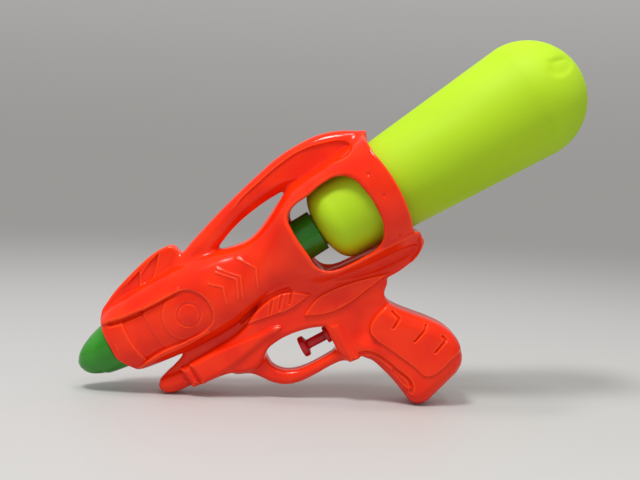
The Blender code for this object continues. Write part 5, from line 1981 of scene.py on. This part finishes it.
class Effects:
    """The effects that several finishes share, each a node group."""

    def __init__(self) -> None:
        """Build the groups once."""
        self.moulding = self.make_moulding()
        self.scuffs = self.make_scuffs()

    def make_moulding(self) -> bpy.types.NodeTree:
        """Build the slow waves and fine grain that a mould leaves, and the tone that drifts with them.

        Returns:
            The node group.
        """
        group, tree, source, target = new_group(
            "mould_marks", {"Vector": "Vector", "Waves": "Float", "Grain": "Float", "Grain Share": "Float"},
            {"Height": "Float", "Tone": "Float"},
        )
        vector, slow, fast, share = (source.outputs[k] for k in range(4))
        waves = tree.noise(vector, slow, 1.0)
        fine = tree.math("MULTIPLY", tree.noise(vector, fast, 2.0), share)
        tree.feed(target.inputs["Height"], tree.math("ADD", waves, fine))
        tree.feed(target.inputs["Tone"], tree.ramp(waves, 0.3, 0.7))
        return group

    def make_scuffs(self) -> bpy.types.NodeTree:
        """Build hairline rub marks that come and go in patches.

        Returns:
            The node group.
        """
        group, tree, source, target = new_group(
            "rub_marks", {"Vector": "Vector", "Scale": "Float"}, {"Mask": "Float"},
        )
        vector, scale = source.outputs["Vector"], source.outputs["Scale"]
        patches = tree.ramp(tree.noise(vector, tree.math("MULTIPLY", scale, 0.25)), 0.45, 0.75)
        lines = None
        for turn, stretch in ((0.5, (1.0, 14.0, 9.0)), (-0.8, (12.0, 10.0, 1.0))):
            place = tree.add("Mapping", {"Vector": vector, "Rotation": (turn, turn, 0.3), "Scale": stretch})
            level = tree.noise(place.outputs[0], scale, 1.0)
            gap = tree.math("ABSOLUTE", tree.math("SUBTRACT", level, 0.5))
            line = tree.ramp(gap, 0.012, 0.0)
            lines = line if lines is None else tree.math("MAXIMUM", lines, line)
        tree.feed(target.inputs["Mask"], tree.math("MULTIPLY", lines, patches))
        return group

    def rub(self, tree: Tree, level: Socket, spot: Socket, scale: float, share: float) -> Socket:
        """Add a share of the rub marks to a level of roughness."""
        rubs = tree.add("Group", {"Vector": spot, "Scale": scale}, node_tree=self.scuffs)
        return tree.math("ADD", level, tree.math("MULTIPLY", rubs.outputs["Mask"], share))


@dataclass(frozen=True)
class Plastic:
    """A moulded plastic: its colour, its gloss, the marks of its mould and of use, and, where an edge colour
    is set, painted highlight on its ridges and painted shade in its creases.
    """

    name: str
    colour: Colour
    # Colour that the tone drifts to at random, which is also the painted shade in creases
    deep: Colour
    roughness: float
    rubbed: float = 0.12
    waves: float = 60.0
    grain: float = 1500.0
    grain_share: float = 0.04
    relief: float = 0.05
    rub_scale: float = 30.0
    specular: float = 0.5
    stretch: tuple[float, float, float] = (1.0, 1.0, 1.0)
    turn: float = 0.0
    roughest: float = 1.25
    # Colour of the painted highlight on ridges; None leaves out both the painted highlight and the painted
    # crease shade
    ridge_highlight_colour: Colour | None = None

    # Shares of the deep colour as painted shade in creases and of the edge colour as painted highlight on
    # ridges: from, to, least and most
    crease: tuple[float, float, float, float] = (0.48, 0.2, 0.0, 0.55)
    ridge: tuple[float, float, float, float] = (0.68, 0.92, 0.0, 0.5)

    def make(self, effects: Effects) -> bpy.types.Material:
        """Build the material.

        Args:
            effects: The shared node groups.

        Returns:
            The finish, ready to put on a piece.
        """
        material, tree, shader, spot = new_material(self.name)
        turn = (0.0, self.turn, 0.0)
        along = tree.add("Mapping", {"Vector": spot, "Rotation": turn, "Scale": self.stretch}).outputs[0]
        inputs = {"Vector": along, "Waves": self.waves, "Grain": self.grain, "Grain Share": self.grain_share}
        marks = tree.add("Group", inputs, node_tree=effects.moulding).outputs
        colour = tree.mix(marks["Tone"], self.colour, self.deep)
        # Painted highlight on ridges and painted shade in creases, where an edge colour is set
        if self.ridge_highlight_colour is not None:
            colour = self.paint_ridge_highlight_and_crease_shade(tree, colour)
        level = tree.ramp(marks["Tone"], 0.0, 1.0, self.roughness, self.roughness * self.roughest)
        bump = tree.add("Bump", {"Height": marks["Height"], "Distance": self.relief * MM, "Strength": 1.0})
        tree.feed(shader.inputs["Base Color"], colour)
        rough = effects.rub(tree, level, spot, self.rub_scale, self.rubbed)
        tree.feed(shader.inputs["Roughness"], rough)
        tree.feed(shader.inputs["Normal"], bump.outputs["Normal"])
        shader.inputs["Specular IOR Level"].default_value = self.specular
        return material

    def paint_ridge_highlight_and_crease_shade(self, tree: Tree, colour: Socket) -> Socket:
        """Paint highlight on the thin ridges of a moulding and paint shade into its creases, from its edge
        layer.

        Args:
            tree: The material's tree.
            colour: The colour away from edges.

        Returns:
            The colour with the painted highlight and the painted shade.
        """
        edge = tree.add("Attribute", attribute_name=EDGE_LAYER).outputs["Fac"]
        # Painted shade: the deep colour darkens the creases; painted highlight: the edge colour lightens the
        # ridges
        crease_shaded = tree.mix(tree.ramp(edge, *self.crease), colour, self.deep)
        return tree.mix(tree.ramp(edge, *self.ridge), crease_shaded, self.ridge_highlight_colour)


@dataclass(frozen=True)
class Metal:
    """A drawn or turned metal with a fine brushed grain."""

    name: str
    colour: Colour
    roughness: float
    brushing: tuple[float, float, float] = (300.0, 2500.0, 300.0)
    dark_share: float = 0.72
    rub_scale: float = 120.0
    rubbed: float = 0.1
    relief: float = 0.01
    spread: tuple[float, float] = (0.8, 1.3)

    def make(self, effects: Effects) -> bpy.types.Material:
        """Build the material.

        Args:
            effects: The shared node groups.

        Returns:
            The finish, ready to put on a piece.
        """
        material, tree, shader, spot = new_material(self.name)
        place = tree.add("Mapping", {"Vector": spot, "Scale": self.brushing})
        grain = tree.noise(place.outputs[0], 1.0, 3.0)
        dark = tuple(share * self.dark_share for share in self.colour)
        tree.feed(shader.inputs["Base Color"], tree.mix(grain, dark, self.colour))
        level = tree.ramp(grain, 0.3, 0.7, *(self.roughness * share for share in self.spread))
        rough = effects.rub(tree, level, spot, self.rub_scale, self.rubbed)
        tree.feed(shader.inputs["Roughness"], rough)
        bump = tree.add("Bump", {"Height": grain, "Distance": self.relief * MM, "Strength": 1.0})
        tree.feed(shader.inputs["Normal"], bump.outputs["Normal"])
        shader.inputs["Metallic"].default_value = 1.0
        return material


@dataclass
class Finishes:
    """The finish of every material slot."""

    tank_turn: float
    made: dict[Slot, bpy.types.Material] = field(init=False)

    def __post_init__(self) -> None:
        """Build each slot's material once."""
        effects = Effects()
        kinds = {
            # Body: the edge colour paints highlight on ridges and the deep colour, besides the drifting
            # tone, paints shade in creases
            Slot.BODY: Plastic(
                "glossy_orange_moulding", (0.90, 0.030, 0.002), (0.80, 0.017, 0.001), 0.15,
                ridge_highlight_colour=(1.0, 0.085, 0.012), specular=0.28,
            ),
            Slot.GREEN: Plastic(
                "glossy_green_moulding", (0.034, 0.27, 0.016), (0.020, 0.21, 0.009), 0.12,
                relief=0.08, specular=0.4,
            ),
            Slot.TANK: Plastic(
                "satin_yellow_blow_moulding", (0.42, 0.65, 0.011), (0.385, 0.60, 0.008), 0.56,
                rubbed=0.1, waves=14.0, grain=900.0, grain_share=0.012, relief=0.25, specular=0.25,
                stretch=(0.4, 1.6, 1.6), turn=self.tank_turn,
            ),
            Slot.TRIGGER: Plastic(
                "glossy_red_moulding", (0.50, 0.008, 0.012), (0.40, 0.005, 0.008), 0.18,
                waves=160.0, specular=0.4,
            ),
            Slot.INNER: Plastic(
                "natural_white_moulding", (0.80, 0.80, 0.77), (0.74, 0.74, 0.70), 0.4, waves=150.0,
            ),
            Slot.HOSE: Plastic(
                "soft_clear_hose", (0.74, 0.78, 0.78), (0.66, 0.70, 0.70), 0.22, waves=220.0,
            ),
            Slot.RUBBER: Plastic(
                "black_rubber", (0.020, 0.020, 0.021), (0.012, 0.012, 0.013), 0.62,
                waves=300.0, grain_share=0.3,
            ),
            Slot.STEEL: Metal("bright_steel", (0.60, 0.60, 0.59), 0.28),
        }
        self.made = {slot: kind.make(effects) for slot, kind in kinds.items()}

    def __getitem__(self, slot: Slot) -> bpy.types.Material:
        """Give a slot's material."""
        return self.made[slot]

    def dress_nodes(self, frame: dict) -> None:
        """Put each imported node's finish on it, by the record's slots.
        """
        for part in frame["record"]["subparts"]:
            node = frame["nodes"][part["node"]]
            node.data.materials.clear()
            node.data.materials.append(self[Slot(part["material_slot"])])


# Stage


@dataclass
class Stage:
    """The plain floor, the soft light and the camera."""

    aim: tuple[float, float] = (149.4, -5.2)
    distance: float = 0.58
    elevation: float = math.radians(4.0)
    roll: float = math.radians(2.28)
    view_width: float = 0.3584
    sensor: float = 36.0
    floor_size: float = 8.0
    floor_drop: float = 0.0004
    floor_colour: Colour = (0.47, 0.465, 0.455)
    floor_paler: float = 1.03
    floor_patches: float = 3.0
    floor_roughness: float = 0.55
    floor_specular: float = 0.3
    floor_fade: tuple[float, float] = (0.4, 1.6)
    wall_fade: tuple[float, float] = (0.0, 0.35)
    seen_low: Colour = (0.33, 0.32, 0.31)
    seen_high: Colour = (0.52, 0.51, 0.50)
    ambient: float = 0.66

    # Lamps: name, place, aimed at, width, depth and power
    lamps: tuple = (
        ("key", (-0.24, -0.46, 1.18), (0.0, 0.0, 0.09), 0.28, 0.28, 10.0),
        ("fill", (0.30, -0.50, 1.10), (0.02, 0.0, 0.09), 0.18, 0.18, 1.6),
        ("top", (0.08, -0.08, 1.22), (0.02, 0.0, 0.09), 0.26, 0.12, 2.4),
    )

    def lay_floor(self) -> None:
        """Lay a pale floor under the toy, which the camera sees run into the wall."""
        bpy.ops.mesh.primitive_plane_add(size=self.floor_size, location=(0.0, 0.0, -self.floor_drop))
        floor = bpy.context.object
        floor.name = floor.data.name = "floor"
        material, tree, shader, spot = new_material("pale_floor")
        paler = tuple(min(1.0, share * self.floor_paler) for share in self.floor_colour)
        patches = tree.noise(spot, self.floor_patches)
        tree.feed(shader.inputs["Base Color"], tree.mix(patches, self.floor_colour, paler))
        shader.inputs["Roughness"].default_value = self.floor_roughness
        shader.inputs["Specular IOR Level"].default_value = self.floor_specular
        away = tree.add("VectorMath", {0: spot}, operation="LENGTH").outputs["Value"]
        rays = tree.add("LightPath").outputs
        seen = tree.math("MULTIPLY", tree.ramp(away, *self.floor_fade), rays["Is Camera Ray"])
        haze = tree.add("Emission", {"Color": self.seen_low})
        both = tree.add("MixShader", {0: seen, 1: shader.outputs[0], 2: haze.outputs[0]})
        tree.feed(tree.nodes["Material Output"].inputs["Surface"], both.outputs[0])
        floor.data.materials.append(material)

    def light(self) -> None:
        """Hang the lamps and set the world: a plain light, seen as a pale wall that darkens downwards."""
        for name, place, target, width, depth, power in self.lamps:
            bpy.ops.object.light_add(type="AREA", location=place)
            lamp = bpy.context.object
            lamp.name = lamp.data.name = name
            lamp.rotation_euler = (Vector(target) - Vector(place)).to_track_quat("-Z", "Y").to_euler()
            lamp.data.shape = "RECTANGLE"
            lamp.data.size, lamp.data.size_y = width, depth
            lamp.data.energy = power
        scene = bpy.context.scene
        scene.view_settings.view_transform = "Standard"
        world = bpy.data.worlds.new("studio")
        scene.world = world
        world.use_nodes = True
        tree = Tree(world.node_tree)
        plain = tree.nodes["Background"]
        plain.inputs["Color"].default_value = (self.ambient, self.ambient, self.ambient, 1.0)
        up = tree.add("SeparateXYZ", {0: tree.add("TexCoord").outputs["Generated"]}).outputs["Z"]
        wall = tree.mix(tree.ramp(up, *self.wall_fade), self.seen_low, self.seen_high)
        seen = tree.add("Background", {"Color": wall})
        rays = tree.add("LightPath").outputs
        clear = tree.math("MAXIMUM", rays["Is Camera Ray"], rays["Is Glossy Ray"])
        clear = tree.math("MAXIMUM", clear, rays["Is Transmission Ray"])
        both = tree.add("MixShader", {0: clear, 1: plain.outputs[0], 2: seen.outputs[0]})
        tree.feed(tree.nodes["World Output"].inputs["Surface"], both.outputs[0])

    def add_camera(self, stance: Stance) -> None:
        """Stand the camera square to the toy's side, a little above it and rolled as it was held.

        Args:
            stance: Where the side plane stands.
        """
        data = bpy.data.cameras.new("camera")
        data.sensor_width = self.sensor
        data.lens = self.sensor * self.distance / self.view_width
        data.dof.use_dof = False
        camera = bpy.data.objects.new("camera", data)
        bpy.context.scene.collection.objects.link(camera)
        back = Vector((0.0, -math.cos(self.elevation), math.sin(self.elevation)))
        camera.location = stance.matrix() @ Vector((self.aim[0], 0.0, self.aim[1])) + back * self.distance
        turn = (-back).to_track_quat("-Z", "Y").to_matrix() @ Matrix.Rotation(self.roll, 3, "Z")
        camera.rotation_euler = turn.to_euler()
        bpy.context.scene.camera = camera


def main() -> None:
    """Build the toy's finished pieces, its stage and its camera."""
    logging.basicConfig(level=logging.INFO, format="%(message)s")
    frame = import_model()
    tank = Tank()
    stance = Stance.from_frame(frame, tank.cap_station)
    finishes = Finishes(stance.tilt + tank.tilt)
    finishes.dress_nodes(frame)

    shell = Shell(tank)
    solid = shell.solid(stance)
    space = shell.hollow(solid)
    for node, side in (("left_shell", Side.LEFT), ("right_shell", Side.RIGHT)):
        half = shell.make(node + "_moulding", side, solid, space, stance)
        show(half, Body.MAIN, Slot.BODY, finishes, node)
    pump = Pump(shell.pump_axis)
    show(tank.make(stance), Body.TANK, Slot.TANK, finishes, "tank")
    show(Cap().make(stance, tank), Body.MAIN, Slot.GREEN, finishes, "tank_cap")
    show(Nozzle().make(stance, shell), Body.MAIN, Slot.GREEN, finishes, "nozzle_cone")
    show(pump.make_trigger(stance), Body.TRIGGER, Slot.TRIGGER, finishes, "trigger")
    show(pump.make_gland(stance), Body.MAIN, Slot.TRIGGER, finishes, "pump_gland")
    for spring in pump.springs():
        coil = spring.make(stance)
        show(coil, Body.MAIN, Slot.STEEL, finishes, spring.node)
        spring.follow(coil, stance)
    for number, screw in enumerate(Screws(shell.screw_seat).make(stance, shell.screws), 1):
        show(screw, Body.MAIN, Slot.STEEL, finishes, f"body_screw_{number}")

    stage = Stage()
    stage.lay_floor()
    stage.light()
    stage.add_camera(stance)


if __name__ == "__main__":
    main()
